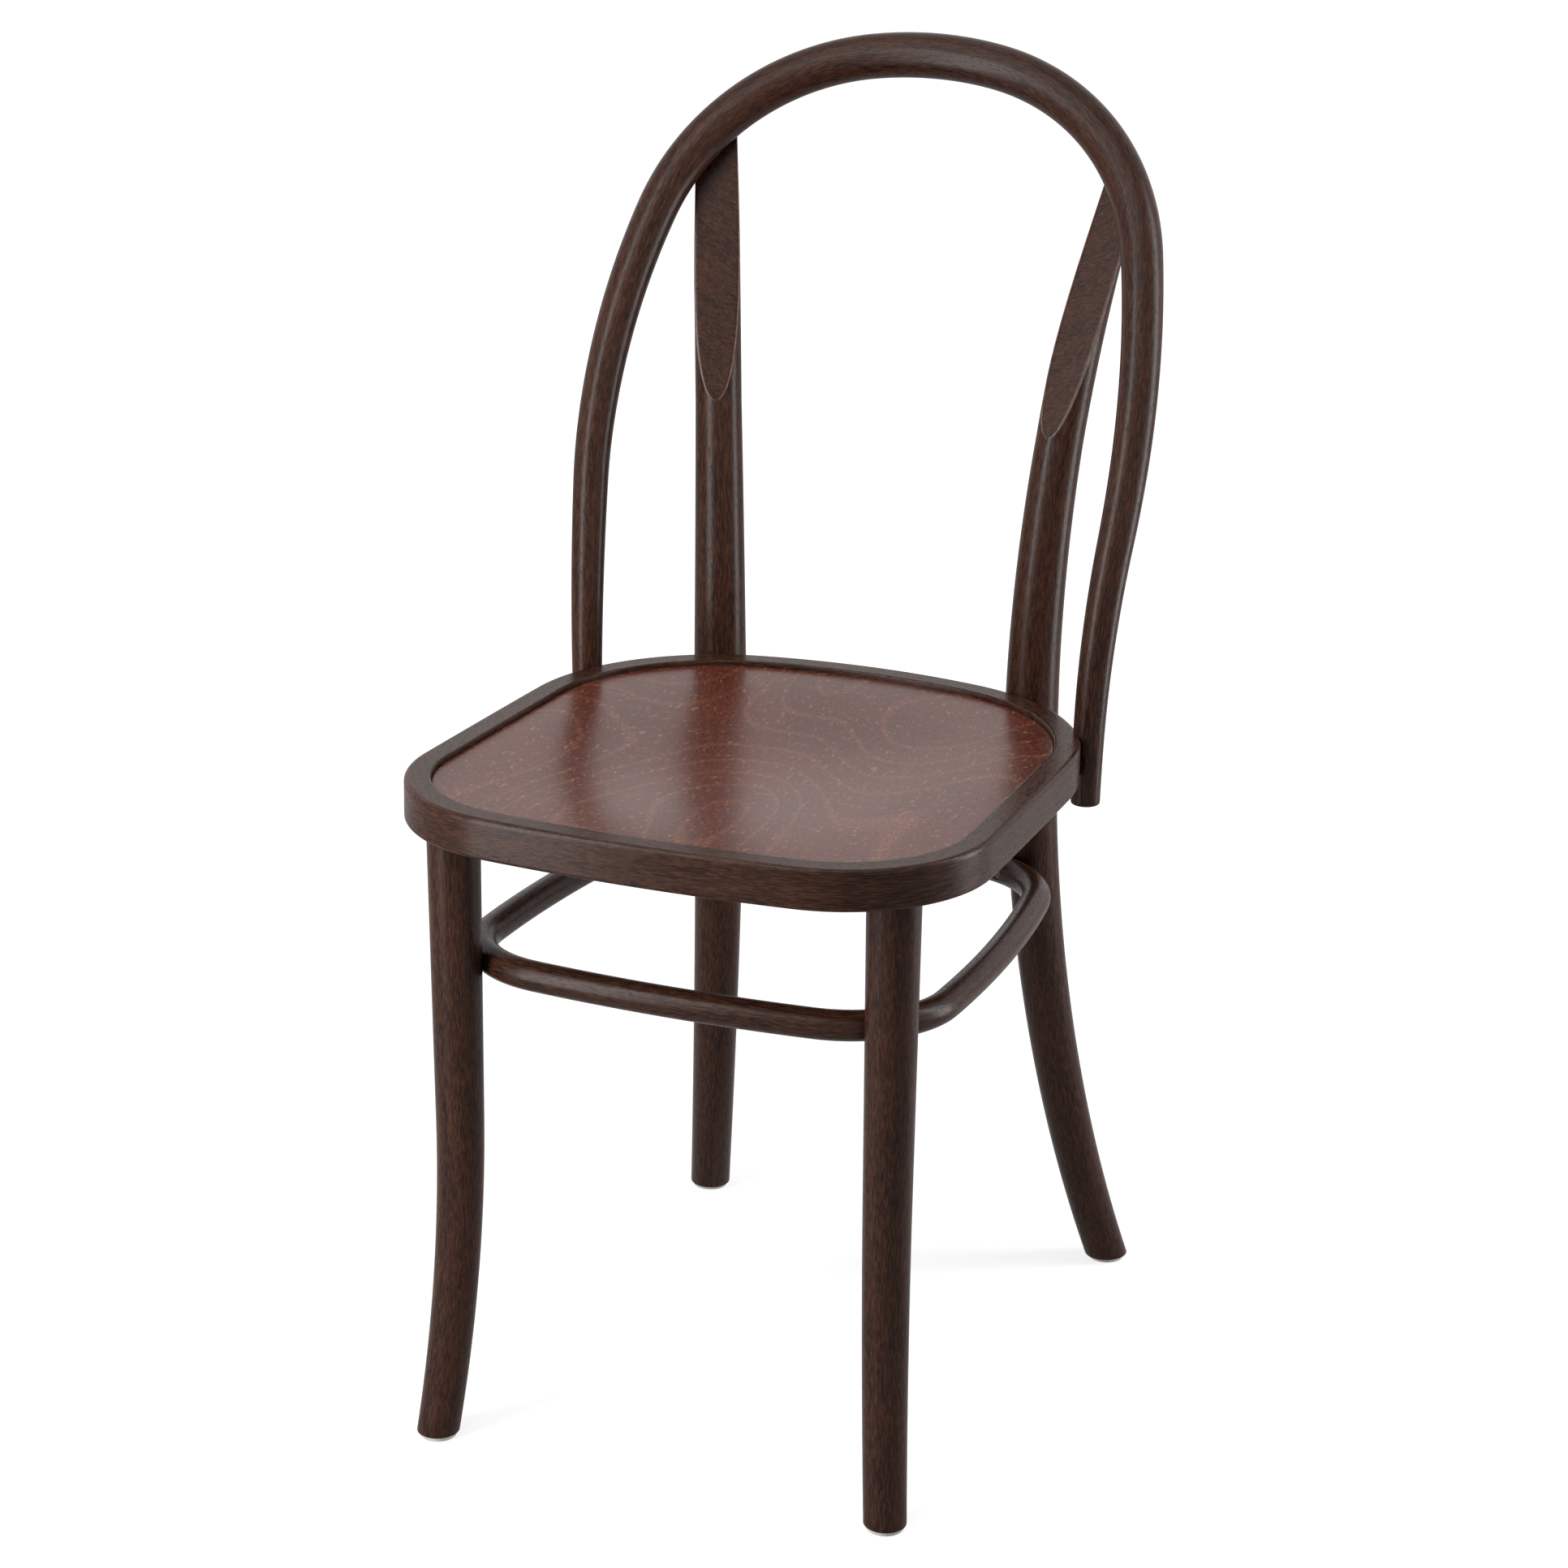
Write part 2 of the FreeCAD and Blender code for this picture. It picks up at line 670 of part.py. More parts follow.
def make_post(ring):
    top = post_target.z + 3 * post_neck_radius
    heights = spread(-overshoot, post_rear_knee, 12) + spread(post_rear_knee, top, 10)[1:]
    stations = [(post_axis(z), post_axis(z + 1) - post_axis(z - 1), turn(45), post_radius(z))
                for z in heights]
    post = bent_bar(stations).common(slab(glide_thickness, top + overshoot))
    reach = post_flat_length + 3 * post_neck_radius
    # The flat is cut in two lengths, so that each of its edges stays short.
    middle = lap_point - lap_up * (post_flat_length / 2)
    ahead = [block(middle + lap_up * way, lap_along, lap_along.cross(lap_normal), lap_normal * -1,
                   reach, reach, reach) for way in (-reach, reach)]
    post = post.cut(ahead + [above_post_top()])
    place, way = stretcher_places[1]
    tools = [
        ring,
        outline_prism(seat, -joint_clearance, rim_bottom - joint_clearance, rim_top + joint_clearance),
        rod(place, way, stretcher_screw_length + socket_clearance, wood_screw_radius + screw_clearance),
        rod(bolt_seat, bolt_way, rim_width - bolt_sink - post_nest + insert_length + socket_clearance,
            insert_radius + screw_clearance),
        screw_hole(hoop_top_seat, hoop_top_way, hoop_top_length, wood_screw_radius,
                   wood_screw_head_radius, hoop_top_screw_sink + overshoot),
        nail_room(post_axis(glide_thickness)),
    ]
    return post.cut(tools)


def make_hoop():
    rise = post_target - post_axis(flat_start)
    along = (rise - lap_normal * rise.dot(lap_normal)).normalize()
    width = post_neck_radius + joint_clearance
    notch = block(lap_point - lap_normal * joint_clearance, along.cross(lap_normal), along, lap_normal,
                  width, 3 * lap_radius, 2 * lap_radius)
    tools = both_sides(notch.cut(above_post_top(joint_clearance)))
    tools += both_sides(rod(hoop_end_seat, hoop_end_way, hoop_end_length + socket_clearance,
                            wood_screw_radius + screw_clearance))
    tools += both_sides(rod(hoop_top_seat, hoop_top_way, hoop_top_length + socket_clearance,
                            wood_screw_radius + screw_clearance))
    return rounded_hoop_bar().cut(tools)


def make_stretcher():
    tools = []
    for place, way in stretcher_places:
        tools += both_sides(screw_hole(place, way, 2 * stretcher_radius, wood_screw_radius,
                                       wood_screw_head_radius, stretcher_screw_sink + overshoot))
    return stretcher_bar().cut(tools)


def make_glide(foot):
    """Plastic disc under a foot, rounded where it meets the floor, with a countersink for its nail."""
    disc = rod(Vector(foot.x, foot.y, 0), UP, glide_thickness, glide_radius)
    edge = [e for e in disc.Edges if e.BoundBox.ZMax < 0.01]
    disc = disc.makeFillet(glide_round, edge)
    head = rod(Vector(foot.x, foot.y, -1), UP, 1 + nail_recess + nail_head_thickness,
               nail_head_radius + socket_clearance)
    shank = rod(Vector(foot.x, foot.y, 0), UP, glide_thickness, nail_radius + screw_clearance)
    return disc.cut([head, shank])


def nail_room(foot):
    return rod(Vector(foot.x, foot.y, 0), UP, nail_recess + nail_length + socket_clearance,
               nail_radius + screw_clearance)


def make_nail(foot):
    start = Vector(foot.x, foot.y, nail_recess)
    head = rod(start, UP, nail_head_thickness, nail_head_radius)
    return head.fuse(rod(start, UP, nail_length, nail_radius)).removeSplitter()


def wood_screw(seat_point, way, length):
    return screw(seat_point, way, length, wood_screw_radius, wood_screw_head_radius, wood_screw_head_height)


def make_bolt():
    """Socket-head bolt; its head stands on the washer."""
    under_head = bolt_seat - bolt_way * washer_thickness
    head = rod(under_head - bolt_way * bolt_head_height, bolt_way, bolt_head_height, bolt_head_radius)
    socket = rod(under_head - bolt_way * bolt_head_height, bolt_way, bolt_socket_depth, bolt_socket_radius)
    shank = rod(under_head, bolt_way, washer_thickness + bolt_length, bolt_radius)
    return head.fuse(shank).removeSplitter().cut(socket)


def make_washer():
    disc = rod(bolt_seat - bolt_way * washer_thickness, bolt_way, washer_thickness, washer_radius)
    hole = rod(bolt_seat - bolt_way * bolt_sink, bolt_way, 2 * bolt_sink, bolt_radius + screw_clearance)
    return disc.cut(hole)


def make_insert():
    """Threaded sleeve in the post, level with the face that meets the rim."""
    start = bolt_seat + bolt_way * (rim_width - bolt_sink + joint_clearance)
    sleeve = rod(start, bolt_way, insert_length - post_nest, insert_radius)
    return sleeve.cut(rod(start - bolt_way, bolt_way, 2 * insert_length, bolt_radius + screw_clearance))


def group(shapes):
    return Part.makeCompound(shapes)


def make_chair():
    ring_room = stretcher_bar(joint_clearance)
    front_leg = make_front_leg(ring_room)
    post = make_post(ring_room)
    front_foot = front_leg_axis(glide_thickness)
    rear_foot = post_axis(glide_thickness)
    glides = {"front": make_glide(front_foot), "rear": make_glide(rear_foot)}
    nails = both_sides(make_nail(front_foot)) + both_sides(make_nail(rear_foot))
    ring_screws = []
    for place, way in stretcher_places:
        ring_screws += both_sides(wood_screw(place, way, stretcher_screw_length))
    panel_screws = [screw(place + panel_screw_seat, UP, panel_screw_length, panel_screw_radius,
                          panel_screw_head_radius, panel_screw_head_height) for place in panel_places]
    return {
        "seat_rim": make_rim(),
        "seat_panel": make_panel(),
        "back_hoop": make_hoop(),
        "stretcher_ring": make_stretcher(),
        "front_leg_right": front_leg,
        "front_leg_left": mirror(front_leg),
        "rear_post_right": post,
        "rear_post_left": mirror(post),
        "glide_front_right": glides["front"],
        "glide_front_left": mirror(glides["front"]),
        "glide_rear_right": glides["rear"],
        "glide_rear_left": mirror(glides["rear"]),
        "glide_nails": group(nails),
        "front_leg_lock_screws": group(both_sides(wood_screw(lock_seat, lock_way, lock_length))),
        "hoop_end_screws": group(both_sides(wood_screw(hoop_end_seat, hoop_end_way, hoop_end_length))),
        "hoop_top_screws": group(both_sides(wood_screw(hoop_top_seat, hoop_top_way, hoop_top_length))),
        "stretcher_screws": group(ring_screws),
        "panel_screws": group(panel_screws),
        "rear_post_bolts": group(both_sides(make_bolt())),
        "rear_post_washers": group(both_sides(make_washer())),
        "rear_post_inserts": group(both_sides(make_insert())),
    }


def place_on_origin(pieces):
    """Moves every piece alike, so that the bounding box stands on the origin by its bottom centre."""
    box = FreeCAD.BoundBox()
    for shape in pieces.values():
        box.add(shape.optimalBoundingBox(False))
    step = Vector(-box.Center.x, -box.Center.y, -box.ZMin)
    return {name: shape.translated(step) for name, shape in pieces.items()}


os.makedirs("parts", exist_ok=True)
for name, shape in place_on_origin(make_chair()).items():
    shape.exportStep("parts/" + name + ".step")
    print(name, "solids", len(shape.Solids), "valid", shape.isValid(), "volume", round(shape.Volume, 1))
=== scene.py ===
import math

import bmesh
import bpy
from bpy.props import FloatProperty, FloatVectorProperty, PointerProperty
from bpy.types import Operator, Panel, PropertyGroup
from mathutils import Matrix, Vector
from mathutils.kdtree import KDTree


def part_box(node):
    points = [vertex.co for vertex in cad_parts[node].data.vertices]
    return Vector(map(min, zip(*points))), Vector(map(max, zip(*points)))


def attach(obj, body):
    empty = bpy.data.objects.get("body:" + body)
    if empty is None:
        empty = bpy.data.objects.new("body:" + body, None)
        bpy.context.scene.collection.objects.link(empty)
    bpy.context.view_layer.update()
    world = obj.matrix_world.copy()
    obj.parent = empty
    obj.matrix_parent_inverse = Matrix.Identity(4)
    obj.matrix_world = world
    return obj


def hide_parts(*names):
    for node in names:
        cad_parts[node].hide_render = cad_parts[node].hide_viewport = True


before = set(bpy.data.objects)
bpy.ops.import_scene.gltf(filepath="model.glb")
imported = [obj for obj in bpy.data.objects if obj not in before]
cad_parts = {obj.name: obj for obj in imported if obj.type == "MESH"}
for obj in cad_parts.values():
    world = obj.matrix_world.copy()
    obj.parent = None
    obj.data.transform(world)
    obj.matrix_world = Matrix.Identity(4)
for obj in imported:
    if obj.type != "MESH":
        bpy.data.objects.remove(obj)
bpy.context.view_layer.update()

bl_info = {
    "name": "Bentwood Dining Chair",
    "version": (1, 0, 0),
    "blender": (4, 5, 0),
    "location": "View3D > Sidebar > Chair",
    "description": "Dresses a bentwood dining chair: seat, legs, posts, hoop, stretcher ring and studio",
    "category": "Object",
}

# The chair faces -Y and its left side is -X. Shapes are worked out about the middle of the seat,
# and placed() moves them to where the frame has its seat rim.

UP = Vector((0, 0, 1))
RIM_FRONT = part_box("seat_rim")[0][1]

# A flat that lies this far from the centre line cuts nothing off the bar.
UNCUT = 1.0

# Working distances in metres: between the rings of a closed bent piece and between the points round
# the panel, from a bore's mouth out to its cutter's end, of the softening of bored edges, between two
# points of a centre line that give its direction, and between points that are one.
RING_SPACING = 0.004
PANEL_SPACING = 0.005
BORE_REACH = 0.012
BORED_EDGE = 0.0004
TANGENT_REACH = 0.001
SAME_POINT = 0.000002

# Edges sharper than this are softened.
SHARP_EDGE = math.radians(32)

# Parts that a softened edge and a rounding are drawn in, sides of a bore, rings of the legs and of
# each half of the hoop, and halvings that find a height.
EDGE_STEPS = 3
ROUND_STEPS = 4
BORE_SIDES = 40
LEG_RINGS = 90
HOOP_RINGS = 130
HALVINGS = 40

# Where each piece takes its grain from, so that no two are alike.
GRAIN_PLACES = {
    "rim": (0.3, 0.1, 0.0), "hoop": (0.0, 0.4, 0.9), "ring": (0.6, 0.3, 0.2),
    "leg_right": (0.7, 0.2, 0.4), "leg_left": (0.1, 0.9, 0.8),
    "post_right": (0.5, 0.5, 0.1), "post_left": (0.2, 0.8, 0.6),
}


# Properties

def length(label, millimetres, text):
    return FloatProperty(name=label, description=text, default=millimetres / 1000,
                         unit="LENGTH", precision=4)


def angle(label, degrees, text):
    return FloatProperty(name=label, description=text, default=math.radians(degrees), subtype="ANGLE")


def number(label, value, text):
    return FloatProperty(name=label, description=text, default=value)


def colour(label, rgb, text):
    return FloatVectorProperty(name=label, description=text, default=rgb, size=3, min=0, max=1,
                               subtype="COLOR")


class SeatSizes(PropertyGroup):
    height: length("Height", 460, "Top of the rim above the floor")
    width: length("Width", 397.8, "Rim across its widest place")
    depth: length("Depth", 417.7, "Rim from front to rear")
    front_bow: length("Front Bow", 1057, "Radius of the rim's front")
    front_corner: length("Front Corner", 103.5, "Radius of the rim's front corners")
    side_bow: length("Side Bow", 12000, "Radius of the rim's sides")
    rear_corner: length("Rear Corner", 142.9, "Radius of the rim's rear corners")
    rear_bow: length("Rear Bow", 396.3, "Radius of the rim's rear")
    rear_corner_inset: length("Rear Corner Inset", 147.9, "Centre of a rear corner, in from the side")
    rim_height: length("Rim Height", 27.4, "Height of the rim's outer face")
    rim_width: length("Rim Width", 48, "Width of the rim's underside")
    rim_border: length("Rim Border", 17.5, "Width of the rim's top face round the panel")
    rim_top_round: length("Rim Top Round", 3.1, "Rounding of the outer top edge")
    rim_bottom_round: length("Rim Bottom Round", 2, "Rounding of the outer bottom edge")
    rim_inner_round: length("Rim Inner Round", 1.2, "Rounding of the inner top edge")
    panel_reveal: length("Panel Reveal", 3.5, "Panel's edge below the rim's top")
    panel_thickness: length("Panel Thickness", 6, "Thickness of the moulded panel")
    panel_dish: length("Panel Dish", 8, "Depth of the dish in the middle")
    panel_flat_border: length("Panel Flat Border", 12, "Level border round the dish")
    panel_gap: length("Panel Gap", 0.3, "Gap between panel and rim")
    panel_edge_round: length("Panel Edge Round", 0.8, "Rounding of the panel's top edge")
    panel_chamfer: length("Panel Chamfer", 0.5, "Chamfer of the panel's bottom edge")


class LegSizes(PropertyGroup):
    angle: angle("Corner Angle", -39.7, "Direction from the rim's front corner centre to the leg")
    inset: length("Inset", 29.7, "Leg's centre in from the rim's edge")
    top_radius: length("Top Radius", 17.6, "Radius under the rim")
    foot_radius: length("Foot Radius", 14.2, "Radius at the floor")
    inward_slope: number("Inward Slope", 0.0052, "Lean towards the middle, going down")
    rear_slope: number("Rear Slope", 0.0246, "Lean to the rear, going down")
    knee_height: length("Knee Height", 227.2, "Height below which the leg is bent outwards")
    side_sweep: length("Side Sweep", 2238, "Bend radius seen from the front")
    front_sweep: length("Front Sweep", 1185, "Bend radius seen from the side")
    into_rim: length("Into Rim", 2, "Leg's top inside the rim")
    foot_round: length("Foot Round", 1.2, "Rounding round the foot")
    glide: length("Glide", 3, "Thickness of the glide under the foot")


class PostSizes(PropertyGroup):
    angle: angle("Corner Angle", 65.7, "Direction from the rim's rear corner centre to the post")
    nest: length("Nest", 0.8, "Depth that the post is let in by at the rim")
    foot_radius: length("Foot Radius", 14.6, "Radius at the floor")
    seat_radius: length("Seat Radius", 18.5, "Radius beside the rim")
    neck_radius: length("Neck Radius", 16.2, "Radius where the flat starts")
    foot_side_knee: length("Foot Side Knee", 445.6, "Height below which the foot spreads sideways")
    foot_side_sweep: length("Foot Side Sweep", 2353, "Bend radius of the foot seen from the front")
    foot_rear_knee: length("Foot Rear Knee", 478.8, "Height below which the foot spreads to the rear")
    foot_rear_sweep: length("Foot Rear Sweep", 1258, "Bend radius of the foot seen from the side")
    side_knee: length("Side Knee", 430.7, "Height above which the post spreads sideways")
    rear_knee: length("Rear Knee", 468.2, "Height above which the post leans back")
    flat_length: length("Flat Length", 183.5, "Length of the slanting flat below the hoop")
    lap_thickness: length("Lap Thickness", 9.5, "Thickness of the post behind the hoop")
    top_short: length("Top Short", 9, "Top of the post below the hoop's outer edge")
    arris: length("Arris", 0.8, "Softening of the flat's edges")


class HoopSizes(PropertyGroup):
    end_height: length("End Height", 410.5, "Lower ends above the floor")
    end_angle: angle("End Angle", 26.8, "Direction from the rim's rear corner centre to the end")
    saddle: length("Saddle", 3.5, "Depth that the hoop is let into the rim")
    end_radius: length("End Radius", 9.9, "Radius at the lower ends")
    crown_radius: length("Crown Radius", 15.6, "Radius at the crown")
    taper_power: number("Taper Power", 1.5, "How the radius grows towards the crown")
    flare_sweep: length("Flare Sweep", 2217, "Bend radius of the lower arms, outwards")
    flare_turn: angle("Flare Turn", 4.61, "Turn of the lower arms, outwards")
    arm_sweep: length("Arm Sweep", 631.9, "Bend radius of the upper arms")
    arm_turn: angle("Arm Turn", 17.82, "Turn of the upper arms")
    shoulder_sweep: length("Shoulder Sweep", 167.2, "Bend radius of the shoulders")
    shoulder_turn: angle("Shoulder Turn", 66.14, "Turn of the shoulders")
    upright: length("Upright", 37.6, "Upright length above the ends")
    lumbar_sweep: length("Lumbar Sweep", 501.9, "Bend radius backwards above the seat")
    lumbar_turn: angle("Lumbar Turn", 20.13, "Turn backwards above the seat")
    back_sweep: length("Back Sweep", 998, "Bend radius backwards of the rest")
    lap_height: length("Lap Height", 819.2, "Height where the posts carry the hoop")
    lap_depth: length("Lap Depth", 3, "Depth of the notch at the lap")
    end_round: length("End Round", 1.5, "Rounding of the lower ends")


class StretcherSizes(PropertyGroup):
    height: length("Height", 334.3, "Centre line above the floor, at the front")
    rear_drop: length("Rear Drop", 4.8, "Centre line lower at the rear than at the front")
    radius: length("Radius", 10.1, "Radius of the bar")
    nest: length("Nest", 1.2, "Depth that the ring is let into the legs")
    front_angle: angle("Front Angle", -50.7, "Direction to the front leg")
    front_corner: length("Front Corner", 71.4, "Radius of the front corners")
    front_bow: length("Front Bow", 921, "Radius of the front")
    side_bow: length("Side Bow", 1121, "Radius of the sides")
    rear_angle: angle("Rear Angle", 61.9, "Direction to the rear post")
    rear_corner: length("Rear Corner", 79, "Radius of the rear corners")
    rear_bow: length("Rear Bow", 742, "Radius of the rear")


class ScrewSizes(PropertyGroup):
    head_room: length("Head Room", 4.6, "Radius of a bore for a screw's head")
    ring_sink: length("Ring Sink", 3.5, "Depth of the bores in the stretcher ring")
    rim_sink: length("Rim Sink", 2, "Depth of the bores for the front legs' screws")
    hoop_end_sink: length("Hoop End Sink", 9, "Depth of the bores for the hoop ends' screws")
    hoop_top_sink: length("Hoop Top Sink", 3.6, "Depth of the bores behind the posts' tops")
    hoop_top_drop: length("Hoop Top Drop", 4, "Bores behind the posts' tops, below the middle of the lap")
    bolt_room: length("Bolt Room", 6.6, "Radius of a bore for a bolt's washer")
    bolt_sink: length("Bolt Sink", 10, "Depth of the bores for the bolts")
    panel_room: length("Panel Room", 3.9, "Radius of a bore for a panel screw's head")
    panel_sink: length("Panel Sink", 2.75, "Depth of the bores for the panel screws")


class Finishes(PropertyGroup):
    wood: colour("Wood", (0.0118, 0.0043, 0.0030), "Brown stain over the wood")
    wood_light: colour("Light Flecks", (0.076, 0.0295, 0.016), "Lighter flecks of the stained wood")
    wood_dark: colour("Dark Pores", (0.005, 0.0020, 0.0015), "Pores filled with stain")
    # The arris colour is a painted highlight. It is laid lighter on the narrow faces beside the flats and
    # stands in for the lamps' reflection on their rounded edges.
    worn: colour("Worn Arris", (0.15, 0.105, 0.09), "Edges of the flats, where the stain has rubbed thin")
    wood_gloss: number("Wood Gloss", 0.14, "Strength of the lacquer's reflection")
    panel: colour("Panel", (0.095, 0.022, 0.013), "Red-brown veneer of the panel")
    panel_light: colour("Panel Figure", (0.165, 0.055, 0.028), "Lighter figure of the veneer")
    panel_dark: colour("Panel Shade", (0.060, 0.0125, 0.008), "Darker figure of the veneer")
    panel_fleck: colour("Panel Flecks", (0.34, 0.19, 0.07), "Golden flecks in the veneer")
    panel_gloss: number("Panel Gloss", 0.26, "Strength of the panel lacquer's reflection")
    plastic: colour("Plastic", (0.62, 0.60, 0.56), "Plastic of the glides")
    steel: colour("Steel", (0.50, 0.49, 0.47), "Zinc-plated steel")
    black_steel: colour("Black Steel", (0.030, 0.030, 0.032), "Blackened screws")
    brass: colour("Brass", (0.62, 0.44, 0.20), "Brass inserts")


class WoodSettings(PropertyGroup):
    streaks: number("Streaks", 0.62, "How much the light fibres show")
    tone: number("Tone", 0.25, "How much the slow change of tone shows")
    pores: number("Pores", 0.8, "How much the dark pores show")
    # Share of the painted arris highlight that is laid between the fibres. On the fibres it is laid in
    # full.
    rubbed: number("Rubbed", 0.5, "How much stain is gone from the edges of the flats, between fibres")
    smooth: number("Smooth", 0.26, "Roughness of the lacquer between the fibres")
    fibrous: number("Fibrous", 0.34, "Roughness of the lacquer over the fibres")
    porous: number("Porous", 0.48, "Roughness of the lacquer over the pores")
    relief: length("Relief", 0.02, "Depth of the pores under the lacquer")
    relief_share: number("Relief Share", 0.4, "How much the relief bends the reflection")
    fibre_relief: number("Fibre Relief", 0.25, "Height of the fibres, as a share of the pores' depth")
    slant: angle("Slant", 52, "Turn of the short fibres on the flats")
    slant_width: length("Slant Width", 0.7, "Width of the fibres on the flats")
    slant_length: length("Slant Length", 5, "Length of the fibres on the flats")
    slant_pore: length("Slant Pore", 3, "Length of the pores on the flats")


class FigureSettings(PropertyGroup):
    hills: number("Hills", 5.0, "Fineness of the hills whose contours the figure follows")
    stretch: number("Stretch", 0.45, "Fineness from front to rear, as a share of that across")
    rows: number("Rows", 44.0, "How closely the rows of flecks follow each other")
    lines: number("Lines", 130.0, "How closely the fine dark lines follow each other")
    clouds: number("Clouds", 14.0, "Fineness of the lighter and darker clouds")
    swirls: number("Swirls", 9.0, "Fineness of the swirls in the grain")
    swirl_reach: length("Swirl Reach", 50, "How far the swirls bend the grain")
    fleck_width: number("Fleck Width", 700.0, "Flecks side by side on a metre")
    fleck_length: number("Fleck Length", 190.0, "Flecks in line on a metre")
    gold_width: number("Gold Width", 330.0, "Golden flecks side by side on a metre")
    gold_length: number("Gold Length", 120.0, "Golden flecks in line on a metre")
    cloud_share: number("Cloud Share", 0.6, "How much the clouds show")
    line_share: number("Line Share", 0.35, "How much the fine dark lines show")
    fleck_share: number("Fleck Share", 0.5, "How much the flecks show")
    row_share: number("Row Share", 0.7, "How much the rows of flecks show")
    gold_share: number("Gold Share", 0.45, "How much the golden flecks show")
    smooth: number("Smooth", 0.24, "Roughness of the lacquer between the flecks")
    rough: number("Rough", 0.32, "Roughness of the lacquer over the flecks")
    relief: length("Relief", 0.02, "Height of the flecks under the lacquer")
    relief_share: number("Relief Share", 0.3, "How much the relief bends the reflection")


class StudioSettings(PropertyGroup):
    azimuth: angle("Azimuth", 22.04, "Camera's way round the chair, from the front")
    elevation: angle("Elevation", 18.62, "Camera's height above the horizon")
    roll: angle("Roll", 1.04, "Camera's turn about its line of sight")
    distance: length("Distance", 2911.25, "Camera from the point it looks at")
    target_x: length("Target X", 17.22, "Point that the camera looks at, across")
    target_z: length("Target Z", 439.13, "Point that the camera looks at, up")
    rim_to_target: length("Rim To Target", 208.85, "Point that the camera looks at, behind the rim's front")
    lens: number("Lens", 101.43, "Focal length in millimetres")
    sensor: number("Sensor", 36.0, "Width of the camera's sensor in millimetres")
    floor: colour("Floor", (0.36, 0.36, 0.36), "Floor without its glow")
    floor_reach: length("Floor Reach", 9000, "Half the floor's width")
    floor_glow: number("Floor Glow", 0.76, "How much the floor is lifted towards white close to the chair")
    floor_sheen: number("Floor Sheen", 0.35, "Share of the glow that shows in gloss and glass")
    near_floor: length("Near Floor", 500, "Distance from the chair up to which the shadow is full")
    far_floor: length("Far Floor", 1700, "Distance from the chair from which the floor is white")
    world: number("World Light", 0.28, "Strength of the even light from all round")
    left_strip: number("Left Strip", 12.0, "Brightness of the tall lamp on the left")
    right_strip: number("Right Strip", 9.5, "Brightness of the tall lamp on the right")
    left_way: angle("Left Way", 54, "Tall left lamp's way round from the camera")
    right_way: angle("Right Way", 92, "Tall right lamp's way round from the camera")
    strip_distance: length("Strip Distance", 1400, "Tall lamps from the chair")
    strip_middle: length("Strip Middle", 1000, "Middle of the tall lamps above the floor")
    strip_width: length("Strip Width", 450, "Width of the tall lamps")
    strip_height: length("Strip Height", 1900, "Height of the tall lamps")
    top_lamp: number("Top Lamp", 2.2, "Brightness of the wide lamp above")
    top_left: length("Top Left", 400, "Wide lamp to the left of the chair's middle")
    top_ahead: length("Top Ahead", 1000, "Wide lamp in front of the chair's middle")
    top_height: length("Top Height", 2700, "Wide lamp above the floor")
    top_aim: length("Top Aim", 500, "Height that the wide lamp points at")
    top_size: length("Top Size", 2000, "Width and depth of the wide lamp")


class Settings:
    """Reads the values of one property group from the scene."""

    def __init__(self, group):
        self.group = group

    def __getattr__(self, field):
        return getattr(getattr(bpy.context.scene, "chair_" + self.group), field)


seat, leg, post, hoop = Settings("seat"), Settings("leg"), Settings("post"), Settings("hoop")
stretcher, screw, studio = Settings("stretcher"), Settings("screw"), Settings("studio")
finishes, wood, figure = Settings("finishes"), Settings("wood"), Settings("figure")


# Shared shapes

def turn(way):
    return Vector((math.cos(way), math.sin(way), 0))


def mirrored(point):
    return Vector((-point.x, point.y, point.z))


def placed(point):
    """Moves a point from the seat's own frame to the chair's."""
    return point + Vector((0, RIM_FRONT + seat.depth / 2, 0))


def tangent_circles(front, rear, front_bow, side_bow, rear_bow):
    """Five (centre, radius) pairs of the right half of an outline; each touches the next inside it."""
    front_centre, front_radius = front
    rear_centre, rear_radius = rear
    front_reach = math.sqrt((front_bow - front_radius) ** 2 - front_centre.x ** 2)
    rear_reach = math.sqrt((rear_bow - rear_radius) ** 2 - rear_centre.x ** 2)
    to_front = side_bow - front_radius
    to_rear = side_bow - rear_radius
    gap = (rear_centre - front_centre).length
    along = (rear_centre - front_centre) / gap
    foot = (to_front ** 2 - to_rear ** 2 + gap ** 2) / (2 * gap)
    side = front_centre + along * foot + UP.cross(along) * math.sqrt(to_front ** 2 - foot ** 2)
    return [
        (Vector((0, front_centre.y + front_reach, 0)), front_bow),
        (front_centre, front_radius),
        (side, side_bow),
        (rear_centre, rear_radius),
        (Vector((0, rear_centre.y - rear_reach, 0)), rear_bow),
    ]


def arc_headings(circles):
    """Directions, seen from the centres, in which the arcs of an outline start and end."""
    headings = [-math.pi / 2]
    for (centre, radius), (next_centre, next_radius) in zip(circles, circles[1:]):
        step = (next_centre - centre) if radius > next_radius else (centre - next_centre)
        headings.append(math.atan2(step.y, step.x))
    return headings + [math.pi / 2]


def outline(circles, spacing):
    """Closed list of (point, outward) round an outline of tangent arcs, from the middle of the front."""
    headings = arc_headings(circles)
    places = []
    for (centre, radius), start, end in zip(circles, headings, headings[1:]):
        steps = max(3, math.ceil(radius * (end - start) / spacing))
        for k in range(steps):
            way = turn(start + (end - start) * k / steps)
            places.append((centre + way * radius, way))
    rear_centre, rear_radius = circles[-1]
    places.append((rear_centre + Vector((0, rear_radius, 0)), Vector((0, 1, 0))))
    return places + [(mirrored(point), mirrored(way)) for point, way in reversed(places[1:-1])]


def sweep(depth, radius):
    """Sideways run of an arc that starts upright, at a depth along it."""
    return radius * (1 - math.sqrt(1 - (depth / radius) ** 2)) if depth > 0 else 0.0


def arc_radius(run, rise):
    return (run ** 2 + rise ** 2) / (2 * run)


def spread(start, end, steps):
    return [start + (end - start) * k / steps for k in range(steps + 1)]


